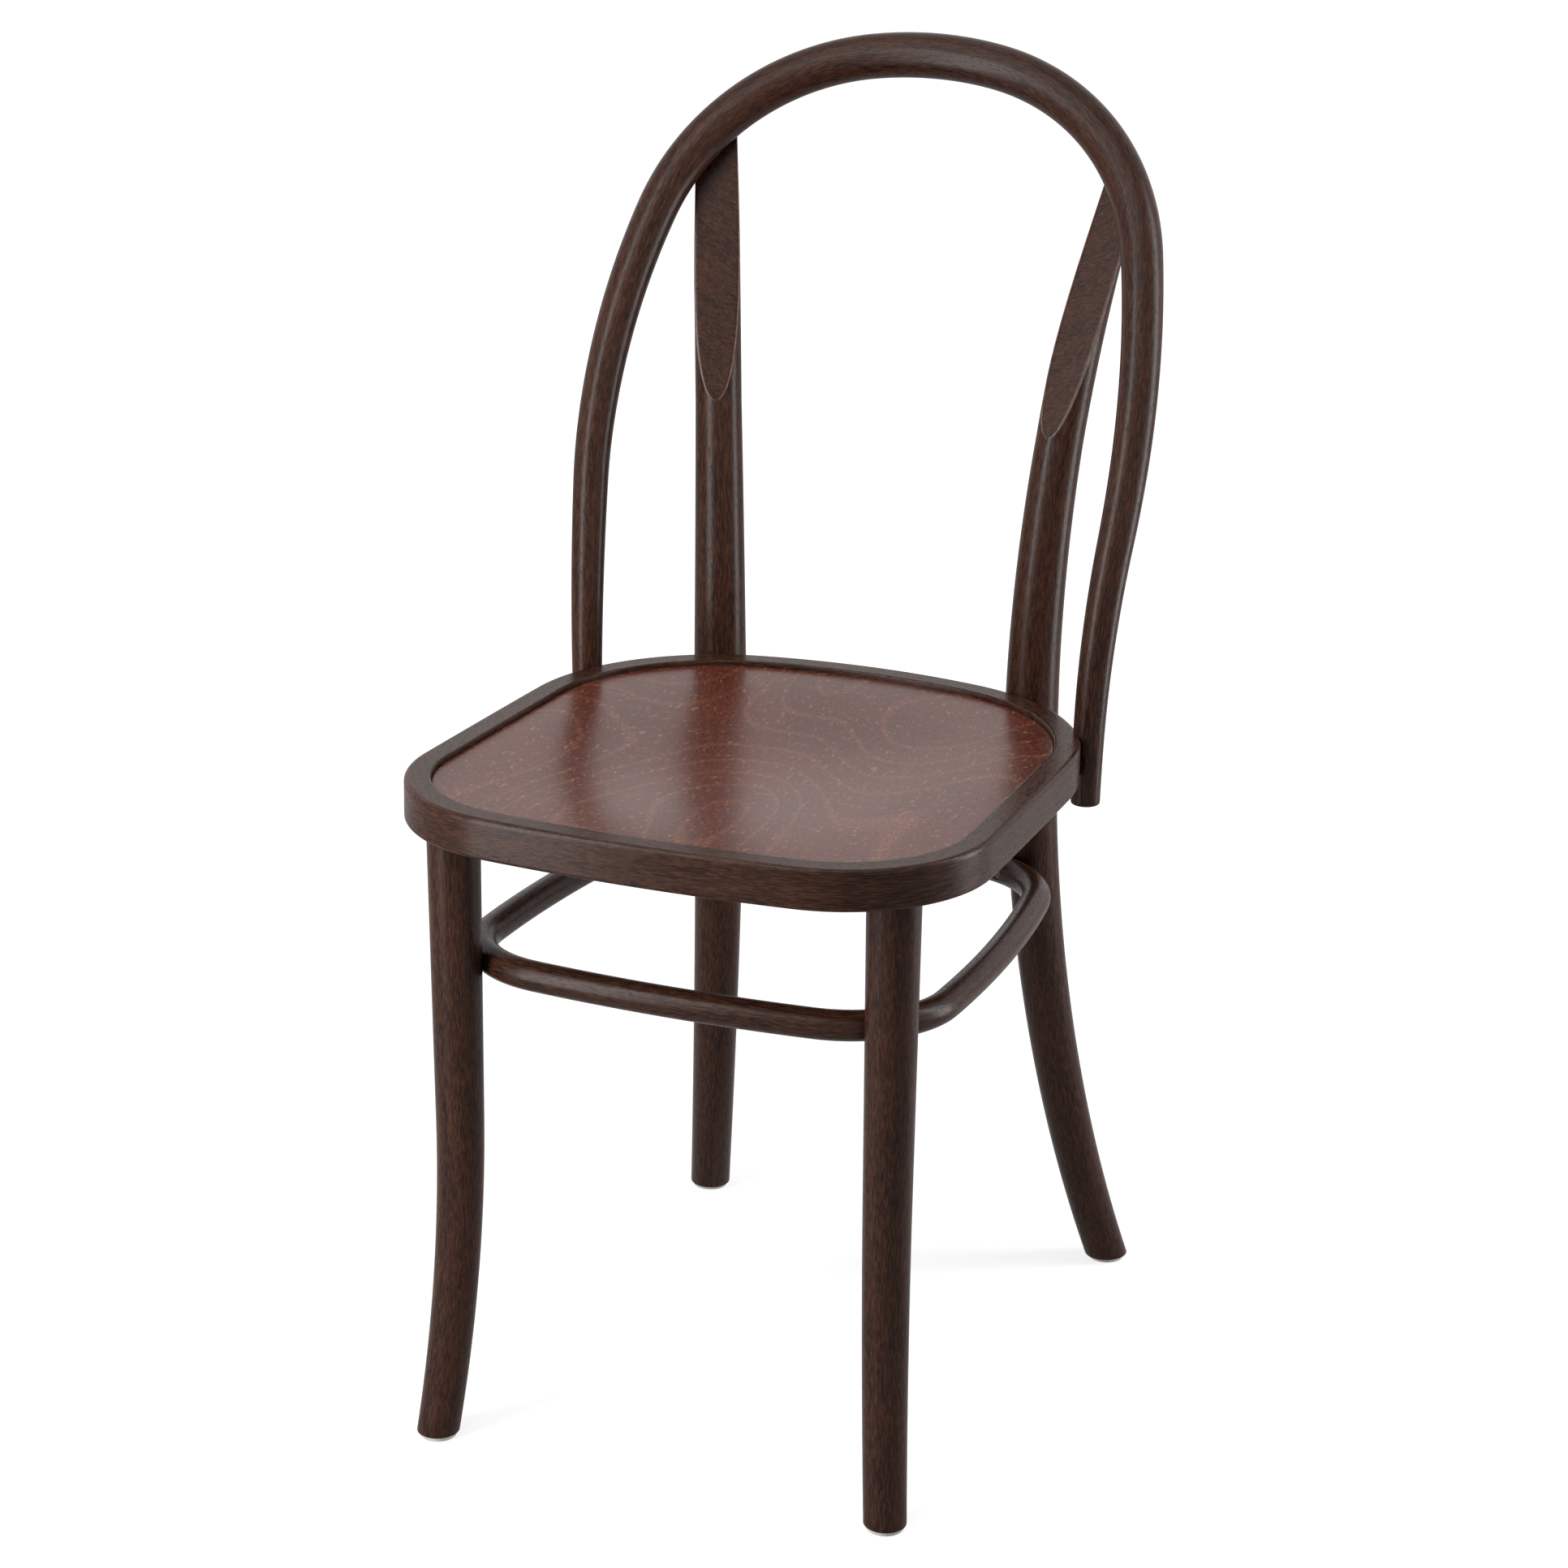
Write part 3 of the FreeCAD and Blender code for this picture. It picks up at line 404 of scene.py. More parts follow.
def ease(value):
    value = min(max(value, 0.0), 1.0)
    return value * value * (3 - 2 * value)


def crossing(low, high, short):
    """Where short(place) stops being true between low and high, found by halving."""
    for halving in range(HALVINGS):
        middle = (low + high) / 2
        if short(middle):
            low = middle
        else:
            high = middle
    return low


def direction(line, z):
    """Direction at a height of a centre line, which is a function of the height."""
    return (line(z + TANGENT_REACH) - line(z - TANGENT_REACH)).normalized()


def seat_circles():
    half = seat.width / 2
    front_x = half - seat.front_corner
    front_drop = math.sqrt((seat.front_bow - seat.front_corner) ** 2 - front_x ** 2)
    front = Vector((front_x, -seat.depth / 2 + seat.front_bow - front_drop, 0))
    rear_x = half - seat.rear_corner_inset
    rear_drop = math.sqrt((seat.rear_bow - seat.rear_corner) ** 2 - rear_x ** 2)
    rear = Vector((rear_x, seat.depth / 2 - seat.rear_bow + rear_drop, 0))
    return tangent_circles((front, seat.front_corner), (rear, seat.rear_corner),
                           seat.front_bow, seat.side_bow, seat.rear_bow)


def rim_bottom():
    return seat.height - seat.rim_height


def ledge_top():
    return seat.height - seat.panel_reveal - seat.panel_thickness


def rear_corner():
    return seat_circles()[3]


# Front legs

def leg_axis(z):
    centre, radius = seat_circles()[1]
    top = centre + turn(leg.angle) * (radius - leg.inset)
    drop = rim_bottom() - z
    x = top.x - leg.inward_slope * drop + sweep(leg.knee_height - z, leg.side_sweep)
    y = top.y + leg.rear_slope * drop - sweep(leg.knee_height - z, leg.front_sweep)
    return Vector((x, y, z))


def leg_radius(z):
    return leg.foot_radius + (leg.top_radius - leg.foot_radius) * z / rim_bottom()


# Back hoop, right half

def hoop_end():
    centre, radius = rear_corner()
    return centre + turn(hoop.end_angle) * (radius + hoop.end_radius - hoop.saddle) + UP * hoop.end_height


def hoop_arcs():
    """Arcs of the hoop's flat sheet as (sweep, turn inwards), closed by the crown at x = 0."""
    arcs = [(hoop.flare_sweep, -hoop.flare_turn), (hoop.arm_sweep, hoop.arm_turn),
            (hoop.shoulder_sweep, hoop.shoulder_turn)]
    x, height, heading = hoop_sheet(arcs, whole_length(arcs))
    return arcs + [(x / math.cos(heading), math.pi / 2 - heading)]


def whole_length(arcs):
    return sum(radius * abs(bend) for radius, bend in arcs)


def hoop_sheet(arcs, along):
    """Place in the flat sheet at a length from the end: (x, height, heading inwards)."""
    x = hoop_end().x
    height = 0.0
    heading = 0.0
    for radius, bend in arcs:
        share = min(along / (radius * abs(bend)), 1.0)
        side = radius if bend > 0 else -radius
        after = heading + bend * share
        x -= side * (math.cos(heading) - math.cos(after))
        height += side * (math.sin(after) - math.sin(heading))
        heading = after
        along -= radius * abs(bend) * share
    return x, height, heading


def hoop_lean(height):
    """Side view of the sheet: (run backwards, rise, lean) at a height up the sheet."""
    above = max(height - hoop.upright, 0.0)
    lumbar = min(above / hoop.lumbar_sweep, hoop.lumbar_turn)
    lean = lumbar + (above - hoop.lumbar_sweep * lumbar) / hoop.back_sweep
    run = hoop.lumbar_sweep * (1 - math.cos(lumbar))
    run += hoop.back_sweep * (math.cos(lumbar) - math.cos(lean))
    rise = min(height, hoop.upright) + hoop.lumbar_sweep * math.sin(lumbar)
    rise += hoop.back_sweep * (math.sin(lean) - math.sin(lumbar))
    return run, rise, lean


def hoop_station(u):
    """Centre, axis, direction behind and radius at u, from 0 at the right end to 1 at the crown."""
    arcs = hoop_arcs()
    x, height, heading = hoop_sheet(arcs, u * whole_length(arcs))
    run, rise, lean = hoop_lean(height)
    end = hoop_end()
    climb = Vector((0, math.sin(lean), math.cos(lean)))
    axis = Vector((-math.sin(heading), 0, 0)) + climb * math.cos(heading)
    behind = Vector((0, math.cos(lean), -math.sin(lean)))
    swell = 1 - (1 - u) ** hoop.taper_power
    radius = hoop.end_radius + (hoop.crown_radius - hoop.end_radius) * swell
    return Vector((x, end.y + run, end.z + rise)), axis, behind, radius


def hoop_place_at(height):
    """How far up the right half of the hoop its centre line reaches a height."""
    return crossing(0.0, 1.0, lambda place: hoop_station(place)[0].z < height)


# Rear posts, right side

def towards(side, way):
    """Unit vector along a way or against it, whichever leads to the side."""
    return way.normalized() if way.dot(side) > 0 else -way.normalized()


class PostShape:
    """Centre line, radius and flat of the right rear post."""

    def __init__(self):
        centre, corner = rear_corner()
        self.base = centre + turn(post.angle) * (corner + post.seat_radius - post.nest)
        self.base_height = rim_bottom() + seat.rim_height / 2
        station = hoop_station(hoop_place_at(hoop.lap_height))
        lap_centre, self.lap_along, self.lap_radius = station[0], station[1], station[3]
        depth = self.lap_radius - hoop.lap_depth
        behind = self.behind(lap_centre - (self.base + UP * self.base_height))
        self.target = lap_centre + behind * (depth + post.lap_thickness - post.neck_radius)
        self.y = self.base.y - sweep(post.foot_rear_knee - self.base_height, post.foot_rear_sweep)
        self.side_sweep = arc_radius(self.target.x - self.base.x, self.target.z - post.side_knee)
        self.rear_sweep = arc_radius(self.target.y - self.y, self.target.z - post.rear_knee)
        self.flat_start = self.target.z - post.flat_length
        behind = self.behind(self.target - self.axis(self.flat_start))
        self.lap_point = lap_centre + behind * depth
        off = self.axis(self.flat_start) - self.lap_point
        off = off - self.lap_along * off.dot(self.lap_along)
        share = self.radius(self.flat_start) / off.length
        square = towards(behind, self.lap_along.cross(off))
        self.normal = off.normalized() * share + square * math.sqrt(1 - share ** 2)
        self.up = towards(UP, self.normal.cross(self.lap_along))

    def behind(self, rise):
        return towards(Vector((0, 1, 0)), self.lap_along.cross(rise))

    def axis(self, z):
        x = self.base.x + sweep(post.foot_side_knee - z, post.foot_side_sweep)
        x += sweep(z - post.side_knee, self.side_sweep)
        y = self.y + sweep(post.foot_rear_knee - z, post.foot_rear_sweep)
        y += sweep(z - post.rear_knee, self.rear_sweep)
        return Vector((x, y, z))

    def radius(self, z):
        if z < self.base_height:
            return post.foot_radius + (post.seat_radius - post.foot_radius) * z / self.base_height
        share = min((z - self.base_height) / (self.flat_start - self.base_height), 1.0)
        return post.seat_radius + (post.neck_radius - post.seat_radius) * share

    def top(self):
        """Height at which the centre line meets the plane of the post's top."""
        over = self.lap_point + self.up * (self.lap_radius - post.top_short)
        reach = 0.05
        return crossing(self.target.z - reach, self.target.z + reach,
                        lambda z: (self.axis(z) - over).dot(self.up) < 0)

    def front_and_depth(self, z):
        """Direction of the flat across the post, and how far in front of the centre line it lies."""
        tangent = direction(self.axis, z)
        front = -(self.normal - tangent * tangent.dot(self.normal)).normalized()
        return front, (self.lap_point - self.axis(z)).dot(self.normal) / front.dot(self.normal)


def stretcher_circles():
    shape = PostShape()
    rear_height = stretcher.height - stretcher.rear_drop
    front_reach = stretcher.front_corner + stretcher.radius + leg_radius(stretcher.height)
    rear_reach = stretcher.rear_corner + stretcher.radius + shape.radius(rear_height)
    front = leg_axis(stretcher.height) - turn(stretcher.front_angle) * (front_reach - stretcher.nest)
    rear = shape.axis(rear_height) - turn(stretcher.rear_angle) * (rear_reach - stretcher.nest)
    return tangent_circles((Vector((front.x, front.y, 0)), stretcher.front_corner),
                           (Vector((rear.x, rear.y, 0)), stretcher.rear_corner),
                           stretcher.front_bow, stretcher.side_bow, stretcher.rear_bow)


def stretcher_slope(circles):
    """Fall of the ring's centre line to the rear, and the depth at which its front lies."""
    front = circles[0][0].y - stretcher.front_bow
    return stretcher.rear_drop / (circles[4][0].y + stretcher.rear_bow - front), front


# Node trees

class Wiring:
    """Adds nodes to a tree, each linked to its sources as it is made."""

    def __init__(self, tree):
        self.tree = tree
        self.column = 0

    def node(self, kind, sources=(), **options):
        node = self.tree.nodes.new(kind)
        node.location = (self.column * 190, -(self.column % 4) * 160)
        self.column += 1
        for name, value in options.items():
            setattr(node, name, value)
        for socket, source in dict(sources).items():
            self.join(source, node.inputs[socket])
        return node

    def join(self, source, socket):
        if isinstance(source, bpy.types.NodeSocket):
            self.tree.links.new(source, socket)
        else:
            socket.default_value = source

    def maths(self, operation, first, second=0.0):
        return self.node("ShaderNodeMath", {0: first, 1: second}, operation=operation).outputs[0]

    def times(self, first, second):
        return self.maths("MULTIPLY", first, second)

    def vector(self, operation, first, second=(0, 0, 0)):
        node = self.node("ShaderNodeVectorMath", {0: first, 1: second}, operation=operation)
        return node.outputs[1 if operation in ("DOT_PRODUCT", "LENGTH") else 0]

    def scaled(self, vector, factor):
        node = self.node("ShaderNodeVectorMath", {0: vector}, operation="SCALE")
        self.join(factor, node.inputs["Scale"])
        return node.outputs[0]

    def mix(self, factor, first, second):
        """Mix of two numbers."""
        return self.node("ShaderNodeMix", {0: factor, 2: first, 3: second}, data_type="FLOAT").outputs[0]

    def blend(self, factor, first, second):
        """Mix of two colours."""
        return self.node("ShaderNodeMix", {0: factor, 6: first, 7: second}, data_type="RGBA").outputs[2]

    def share(self, value, low, high, most):
        """Smooth step of a value, from 0 at low to most at high."""
        return self.times(self.ramp(value, low, high), most)

    def noise(self, vector, scale, detail, roughness=0.5, output=0):
        """Value of a noise, or with the output "Color" a random vector."""
        sources = {"Vector": vector, "Scale": scale, "Detail": detail, "Roughness": roughness}
        return self.node("ShaderNodeTexNoise", sources).outputs[output]

    def swirled(self, vector, scale, reach):
        """Vector moved about by a noise, so that what follows it bends."""
        centred = self.vector("SUBTRACT", self.noise(vector, scale, 1.0, output="Color"), (0.5, 0.5, 0.5))
        return self.vector("ADD", vector, self.scaled(centred, reach))

    def ramp(self, value, low, high):
        """Smooth step of a value from 0 at low to 1 at high."""
        node = self.node("ShaderNodeMapRange", {"Value": value, "From Min": low, "From Max": high},
                         interpolation_type="SMOOTHSTEP")
        return node.outputs["Result"]


def new_tree(name, kind, inputs, outputs):
    """Node group with the sockets named; each is (name, socket type, default or None)."""
    tree = bpy.data.node_groups.new(name, kind)
    for direction, sockets in (("INPUT", inputs), ("OUTPUT", outputs)):
        for label, socket_type, default in sockets:
            socket = tree.interface.new_socket(label, in_out=direction, socket_type=socket_type)
            if default is not None:
                socket.default_value = default
    return tree


def shape_tree(name, inputs):
    """Tree that makes a shape from a line of edges: the tree, its wiring, inputs and line."""
    tree = new_tree(name, "GeometryNodeTree", [
        ("Geometry", "NodeSocketGeometry", None),
        *inputs,
        ("Material", "NodeSocketMaterial", None),
    ], [("Geometry", "NodeSocketGeometry", None)])
    w = Wiring(tree)
    inlet = w.node("NodeGroupInput").outputs
    return tree, w, inlet, w.node("GeometryNodeMeshToCurve", {"Mesh": inlet["Geometry"]}).outputs[0]


def captured(wiring, geometry, items):
    """Carries named fields along with a geometry; items are (name, data type, field)."""
    node = wiring.node("GeometryNodeCaptureAttribute")
    for name, data_type, field in items:
        node.capture_items.new(data_type, name)
    wiring.join(geometry, node.inputs["Geometry"])
    for name, data_type, field in items:
        wiring.join(field, node.inputs[name])
    return node.outputs


def named(wiring, name, data_type):
    node = wiring.node("GeometryNodeInputNamedAttribute", {"Name": name}, data_type=data_type)
    return node.outputs["Attribute"]


def finish_tree(wiring, geometry, inlet):
    """Smooth shading, realized instances and the material, which end each tree."""
    smooth = wiring.node("GeometryNodeSetShadeSmooth", {"Geometry": geometry})
    real = wiring.node("GeometryNodeRealizeInstances", {"Geometry": smooth.outputs[0]}).outputs[0]
    coated = wiring.node("GeometryNodeSetMaterial", {"Geometry": real, "Material": inlet["Material"]})
    outlet = wiring.node("NodeGroupOutput")
    wiring.join(coated.outputs[0], outlet.inputs[0])


def swept(wiring, path, profile, caps):
    """Mesh of a profile carried along a path; both are outputs of captured()."""
    return wiring.node("GeometryNodeCurveToMesh", {
        "Curve": path["Geometry"], "Profile Curve": profile["Geometry"], "Fill Caps": caps}).outputs[0]


def moved(wiring, mesh, place, offset):
    """Mesh with its points at a place plus an offset."""
    goal = wiring.vector("ADD", place, offset)
    return wiring.node("GeometryNodeSetPosition", {"Geometry": mesh, "Position": goal}).outputs[0]


def bar_tree():
    """Round bar along a path, planed flat where the path says so.

    The path's points carry the bar's radius and axis, the normal of each ring, the direction in which
    the flat faces, and how far from the centre line it lies.
    """
    name = "Bent Bar"
    if name in bpy.data.node_groups:
        return bpy.data.node_groups[name]
    least_cut = 0.001
    slack = 0.0001
    tree, w, inlet, path = shape_tree(name, [
        ("Segments", "NodeSocketInt", 64),
        ("Flat Share", "NodeSocketFloat", 0.3),
        ("Least Flat Angle", "NodeSocketFloat", 0.1),
    ])
    along = captured(w, path, [
        ("Place", "VECTOR", w.node("GeometryNodeInputPosition").outputs[0]),
        ("Axis", "VECTOR", named(w, "axis", "FLOAT_VECTOR")),
        ("Ring", "VECTOR", named(w, "ring", "FLOAT_VECTOR")),
        ("Front", "VECTOR", named(w, "front", "FLOAT_VECTOR")),
        ("Thick", "FLOAT", named(w, "thick", "FLOAT")),
        ("Planed", "FLOAT", named(w, "planed", "FLOAT")),
    ])
    circle = w.node("GeometryNodeCurvePrimitiveCircle", {"Resolution": inlet["Segments"], "Radius": 1.0})
    round_it = captured(w, circle.outputs[0], [
        ("Turn", "FLOAT", w.node("GeometryNodeSplineParameter").outputs["Factor"]),
    ])
    mesh = swept(w, along, round_it, True)
    radius = along["Thick"]
    depth = along["Planed"]
    cut = w.maths("ARCCOSINE", w.maths("MINIMUM", w.maths("DIVIDE", depth, radius), 1.0))
    zone = w.maths("MAXIMUM", cut, inlet["Least Flat Angle"])
    centred = w.maths("SUBTRACT", round_it["Turn"], w.maths("ROUND", round_it["Turn"]))
    share = w.times(w.maths("ABSOLUTE", centred), 2.0)
    flat_share = inlet["Flat Share"]
    inside = w.times(zone, w.maths("DIVIDE", share, flat_share))
    past = w.maths("DIVIDE", w.maths("SUBTRACT", share, flat_share), w.maths("SUBTRACT", 1.0, flat_share))
    outside = w.maths("ADD", zone, w.times(past, w.maths("SUBTRACT", math.pi, zone)))
    way = w.mix(w.maths("LESS_THAN", share, flat_share), outside, inside)
    planed = w.maths("LESS_THAN", way, w.maths("ADD", cut, slack))
    planed = w.times(planed, w.maths("GREATER_THAN", cut, least_cut))
    part = w.maths("DIVIDE", way, w.maths("MAXIMUM", cut, least_cut))
    chord = w.times(w.maths("SINE", cut), part)
    across = w.times(radius, w.mix(planed, w.maths("SINE", way), chord))
    across = w.times(across, w.maths("SIGN", centred))
    ahead = w.mix(planed, w.times(radius, w.maths("COSINE", way)), depth)
    side = w.vector("CROSS_PRODUCT", along["Axis"], along["Front"])
    offset = w.vector("ADD", w.scaled(along["Front"], ahead), w.scaled(side, across))
    tilt = w.maths("DIVIDE", w.vector("DOT_PRODUCT", offset, along["Ring"]),
                   w.vector("DOT_PRODUCT", along["Axis"], along["Ring"]))
    offset = w.vector("SUBTRACT", offset, w.scaled(along["Axis"], tilt))
    finish_tree(w, moved(w, mesh, along["Place"], offset), inlet)
    return tree


def strip_tree():
    """Strip of one cross-section round a closed level path whose points carry their outward side."""
    tree, w, inlet, path = shape_tree("Bent Strip", [("Section", "NodeSocketObject", None)])
    place = w.node("GeometryNodeInputPosition").outputs[0]
    along = captured(w, path, [
        ("Place", "VECTOR", place),
        ("Outward", "VECTOR", named(w, "outward", "FLOAT_VECTOR")),
    ])
    section = w.node("GeometryNodeObjectInfo", {"Object": inlet["Section"]}).outputs["Geometry"]
    section = w.node("GeometryNodeMeshToCurve", {"Mesh": section}).outputs[0]
    round_it = captured(w, section, [("Section Place", "VECTOR", place)])
    mesh = swept(w, along, round_it, False)
    parts = w.node("ShaderNodeSeparateXYZ", {0: round_it["Section Place"]}).outputs
    offset = w.vector("SUBTRACT", w.scaled(UP, parts["Y"]), w.scaled(along["Outward"], parts["X"]))
    finish_tree(w, moved(w, mesh, along["Place"], offset), inlet)
    return tree


# Meshes

def linked(name, data):
    """New object in the scene for a mesh, a lamp or a camera."""
    obj = bpy.data.objects.new(name, data)
    bpy.context.scene.collection.objects.link(obj)
    return obj


def built(name, work):
    """New object in the scene for a bmesh, which is freed."""
    mesh = bpy.data.meshes.new(name)
    work.to_mesh(mesh)
    work.free()
    return linked(name, mesh)


def path_object(name, points, closed, fields):
    """Line of edges through points, with the fields as attributes of its points."""
    mesh = bpy.data.meshes.new(name)
    edges = [(k, k + 1) for k in range(len(points) - 1)]
    if closed:
        edges.append((len(points) - 1, 0))
    mesh.from_pydata(points, edges, [])
    for label, values in fields.items():
        scalar = isinstance(values[0], float)
        field = mesh.attributes.new(label, "FLOAT" if scalar else "FLOAT_VECTOR", "POINT")
        for item, value in zip(field.data, values):
            if scalar:
                item.value = value
            else:
                item.vector = value
    return linked(name, mesh)


def drop(obj):
    """Removes a helper object with its mesh."""
    mesh = obj.data
    bpy.data.objects.remove(obj)
    bpy.data.meshes.remove(mesh)


def baked(obj, name):
    """Plain object with the evaluated mesh of obj, which is removed."""
    bpy.context.view_layer.update()
    mesh = bpy.data.meshes.new_from_object(obj.evaluated_get(bpy.context.evaluated_depsgraph_get()))
    mesh.name = name
    if not mesh.polygons:
        raise RuntimeError("no faces came out for " + name)
    drop(obj)
    return linked(name, mesh)


def outward_faces(obj):
    """Merges doubles and makes every face point outwards."""
    work = bmesh.new()
    work.from_mesh(obj.data)
    bmesh.ops.remove_doubles(work, verts=work.verts, dist=SAME_POINT)
    bmesh.ops.recalc_face_normals(work, faces=work.faces)
    work.to_mesh(obj.data)
    work.free()


def set_inputs(modifier, values):
    """Sets a node modifier's inputs by their sockets' identifiers."""
    for item in modifier.node_group.interface.items_tree:
        if item.item_type == "SOCKET" and item.in_out == "INPUT" and item.name in values:
            modifier[item.identifier] = values[item.name]


def grown(path, name, tree, values):
    modifier = path.modifiers.new("Shape", "NODES")
    modifier.node_group = tree
    set_inputs(modifier, values)
    obj = baked(path, name)
    outward_faces(obj)
    return obj


def bar(name, stations, material, closed=False):
    """Bar through stations of (centre, axis, ring normal, front, radius, planed)."""
    centres, axes, rings, fronts, radii, planed = zip(*stations)
    path = path_object(name + "_path", [placed(c) for c in centres], closed, {
        "axis": axes, "ring": rings, "front": fronts, "thick": radii, "planed": planed})
    return grown(path, name, bar_tree(), {"Material": material})


def round_end(stations, rounding):
    """Draws in the first rings of a bar, so that its end is rounded."""
    centre, axis, ring, front, radius, planed = stations[0]
    edge = []
    for bend in spread(0, math.pi / 2, ROUND_STEPS):
        edge.append((centre + axis * rounding * (1 - math.cos(bend)), axis, ring, front,
                     radius - rounding * (1 - math.sin(bend)), planed))
    clear = 1.5 * rounding
    return edge + [station for station in stations[1:] if (station[0] - centre).length > clear]


def bores(name, places):
    """Cutters for the bores; each place is (mouth, way in, depth, radius)."""
    work = bmesh.new()
    for mouth, way, depth, radius in places:
        start = placed(mouth - way * BORE_REACH)
        end = placed(mouth + way * depth)
        turned = UP.rotation_difference(way).to_matrix().to_4x4()
        bmesh.ops.create_cone(work, cap_ends=True, segments=BORE_SIDES, radius1=radius, radius2=radius,
                              depth=(end - start).length,
                              matrix=Matrix.Translation((start + end) / 2) @ turned)
    return built(name, work)


def bored(obj, places, softening):
    """Cuts the bores and softens the sharp edges."""
    name = obj.name
    cutter = bores(name + "_bores", places)
    cut = obj.modifiers.new("Bores", "BOOLEAN")
    cut.operation = "DIFFERENCE"
    cut.solver = "EXACT"
    cut.object = cutter
    soft = obj.modifiers.new("Edges", "BEVEL")
    soft.width = softening
    soft.segments = EDGE_STEPS
    soft.limit_method = "ANGLE"
    soft.angle_limit = SHARP_EDGE
    soft.harden_normals = True
    obj.name = name + "_raw"
    done = baked(obj, name)
    drop(cutter)
    return done


def side_word(side):
    return "right" if side > 0 else "left"


def sided(stations, side):
    """Stations of a bar for the right side as they are, or mirrored for the left."""
    if side > 0:
        return stations
    return [(mirrored(c), mirrored(a), mirrored(n), mirrored(f), r, p) for c, a, n, f, r, p in stations]


def mirrored_bore(place):
    mouth, way, depth, radius = place
    return mirrored(mouth), mirrored(way), depth, radius


def both_sides(places):
    return [mirrored_bore(place) for place in places] + places


def unbend(obj, stations):
    """Stores for each point where it lay before the wood was bent: across, deep and along the grain.

    Stations are (centre, direction of depth, axis) along the bent line.
    """
    centres = [placed(centre) for centre, deep, axis in stations]
    lengths = [0.0]
    for here, after in zip(centres, centres[1:]):
        lengths.append(lengths[-1] + (after - here).length)
    tree = KDTree(len(centres))
    for k, centre in enumerate(centres):
        tree.insert(centre, k)
    tree.balance()
    field = obj.data.attributes.new("grain", "FLOAT_VECTOR", "POINT")
    for point, item in zip(obj.data.vertices, field.data):
        k = tree.find(point.co)[1]
        centre, deep, axis = stations[k]
        off = point.co - centres[k]
        side = axis.cross(deep)
        item.vector = (off.dot(side), off.dot(deep), lengths[k] + off.dot(axis))


def shown(obj, node):
    """Puts a finished piece in place of its node in the frame."""
    obj.data.name = obj.name
    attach(obj, "root")
    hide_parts(node)


def shown_bar(obj, stations, node):
    """Lays the grain along a finished bar and puts it in place of its node."""
    unbend(obj, [(centre, front, axis) for centre, axis, ring, front, radius, planed in stations])
    shown(obj, node)


# Materials

def principled(name):
    """New material with its shader and a helper for its other nodes."""
    material = bpy.data.materials.new(name)
    material.use_nodes = True
    shader = material.node_tree.nodes["Principled BSDF"]
    return material, shader, Wiring(material.node_tree)


def rgba(colour_value):
    return (*colour_value, 1.0)


def fibre_group():
    """Fibres, pores and slow change of tone, for a vector whose third part runs along the grain."""
    waver_scale, waver_reach = 9.0, 0.004
    tone_width, tone_stretch = 8.0, 14.0
    name = "Wood Fibres"
    if name in bpy.data.node_groups:
        return bpy.data.node_groups[name]
    tree = new_tree(name, "ShaderNodeTree", [
        ("Vector", "NodeSocketVector", None),
        ("Fibre Width", "NodeSocketFloat", 0.0009),
        ("Fibre Length", "NodeSocketFloat", 0.009),
        ("Pore Width", "NodeSocketFloat", 0.0005),
        ("Pore Length", "NodeSocketFloat", 0.004),
    ], [
        ("Streaks", "NodeSocketFloat", None),
        ("Pores", "NodeSocketFloat", None),
        ("Tone", "NodeSocketFloat", None),
    ])
    w = Wiring(tree)
    inlet = w.node("NodeGroupInput").outputs
    outlet = w.node("NodeGroupOutput").inputs
    bent = w.swirled(inlet["Vector"], waver_scale, waver_reach)

    def stretched(width, span):
        thin = w.maths("DIVIDE", 1.0, width)
        scale = w.node("ShaderNodeCombineXYZ", {0: thin, 1: thin, 2: w.maths("DIVIDE", 1.0, span)})
        return w.vector("MULTIPLY", bent, scale.outputs[0])

    fibres = w.noise(stretched(inlet["Fibre Width"], inlet["Fibre Length"]), 1.0, 3.0, 0.6)
    pores = w.noise(stretched(inlet["Pore Width"], inlet["Pore Length"]), 1.0, 1.0)
    wide = w.times(inlet["Fibre Width"], tone_width)
    tone = w.noise(stretched(wide, w.times(wide, tone_stretch)), 1.0, 2.0)
    w.join(w.ramp(fibres, 0.40, 0.66), outlet["Streaks"])
    w.join(w.ramp(pores, 0.56, 0.68), outlet["Pores"])
    w.join(w.ramp(tone, 0.3, 0.7), outlet["Tone"])
    return tree


def wear_group():
    """Fine scuffs and slow unevenness for small hard parts."""
    name = "Fine Wear"
    if name in bpy.data.node_groups:
        return bpy.data.node_groups[name]
    tree = new_tree(name, "ShaderNodeTree", [
        ("Vector", "NodeSocketVector", None),
        ("Grain", "NodeSocketFloat", 0.0008),
    ], [("Scuffs", "NodeSocketFloat", None), ("Cloud", "NodeSocketFloat", None)])
    w = Wiring(tree)
    inlet = w.node("NodeGroupInput").outputs
    outlet = w.node("NodeGroupOutput").inputs
    fine = w.scaled(inlet["Vector"], w.maths("DIVIDE", 1.0, inlet["Grain"]))
    w.join(w.ramp(w.noise(fine, 1.0, 3.0), 0.42, 0.7), outlet["Scuffs"])
    w.join(w.ramp(w.noise(fine, 0.11, 2.0), 0.35, 0.65), outlet["Cloud"])
    return tree


def grouped(w, tree, values):
    node = w.node("ShaderNodeGroup", node_tree=tree)
    for socket, value in values.items():
        w.join(value, node.inputs[socket])
    return node.outputs


def surfaced(w, shader, tone, roughness, height, depth, share):
    """Joins colour, roughness and relief, whose height runs over a depth, to the shader."""
    bump = w.node("ShaderNodeBump", {"Height": height, "Distance": depth, "Strength": share})
    for socket, source in (("Base Color", tone), ("Roughness", roughness), ("Normal", bump.outputs[0])):
        w.join(source, shader.inputs[socket])


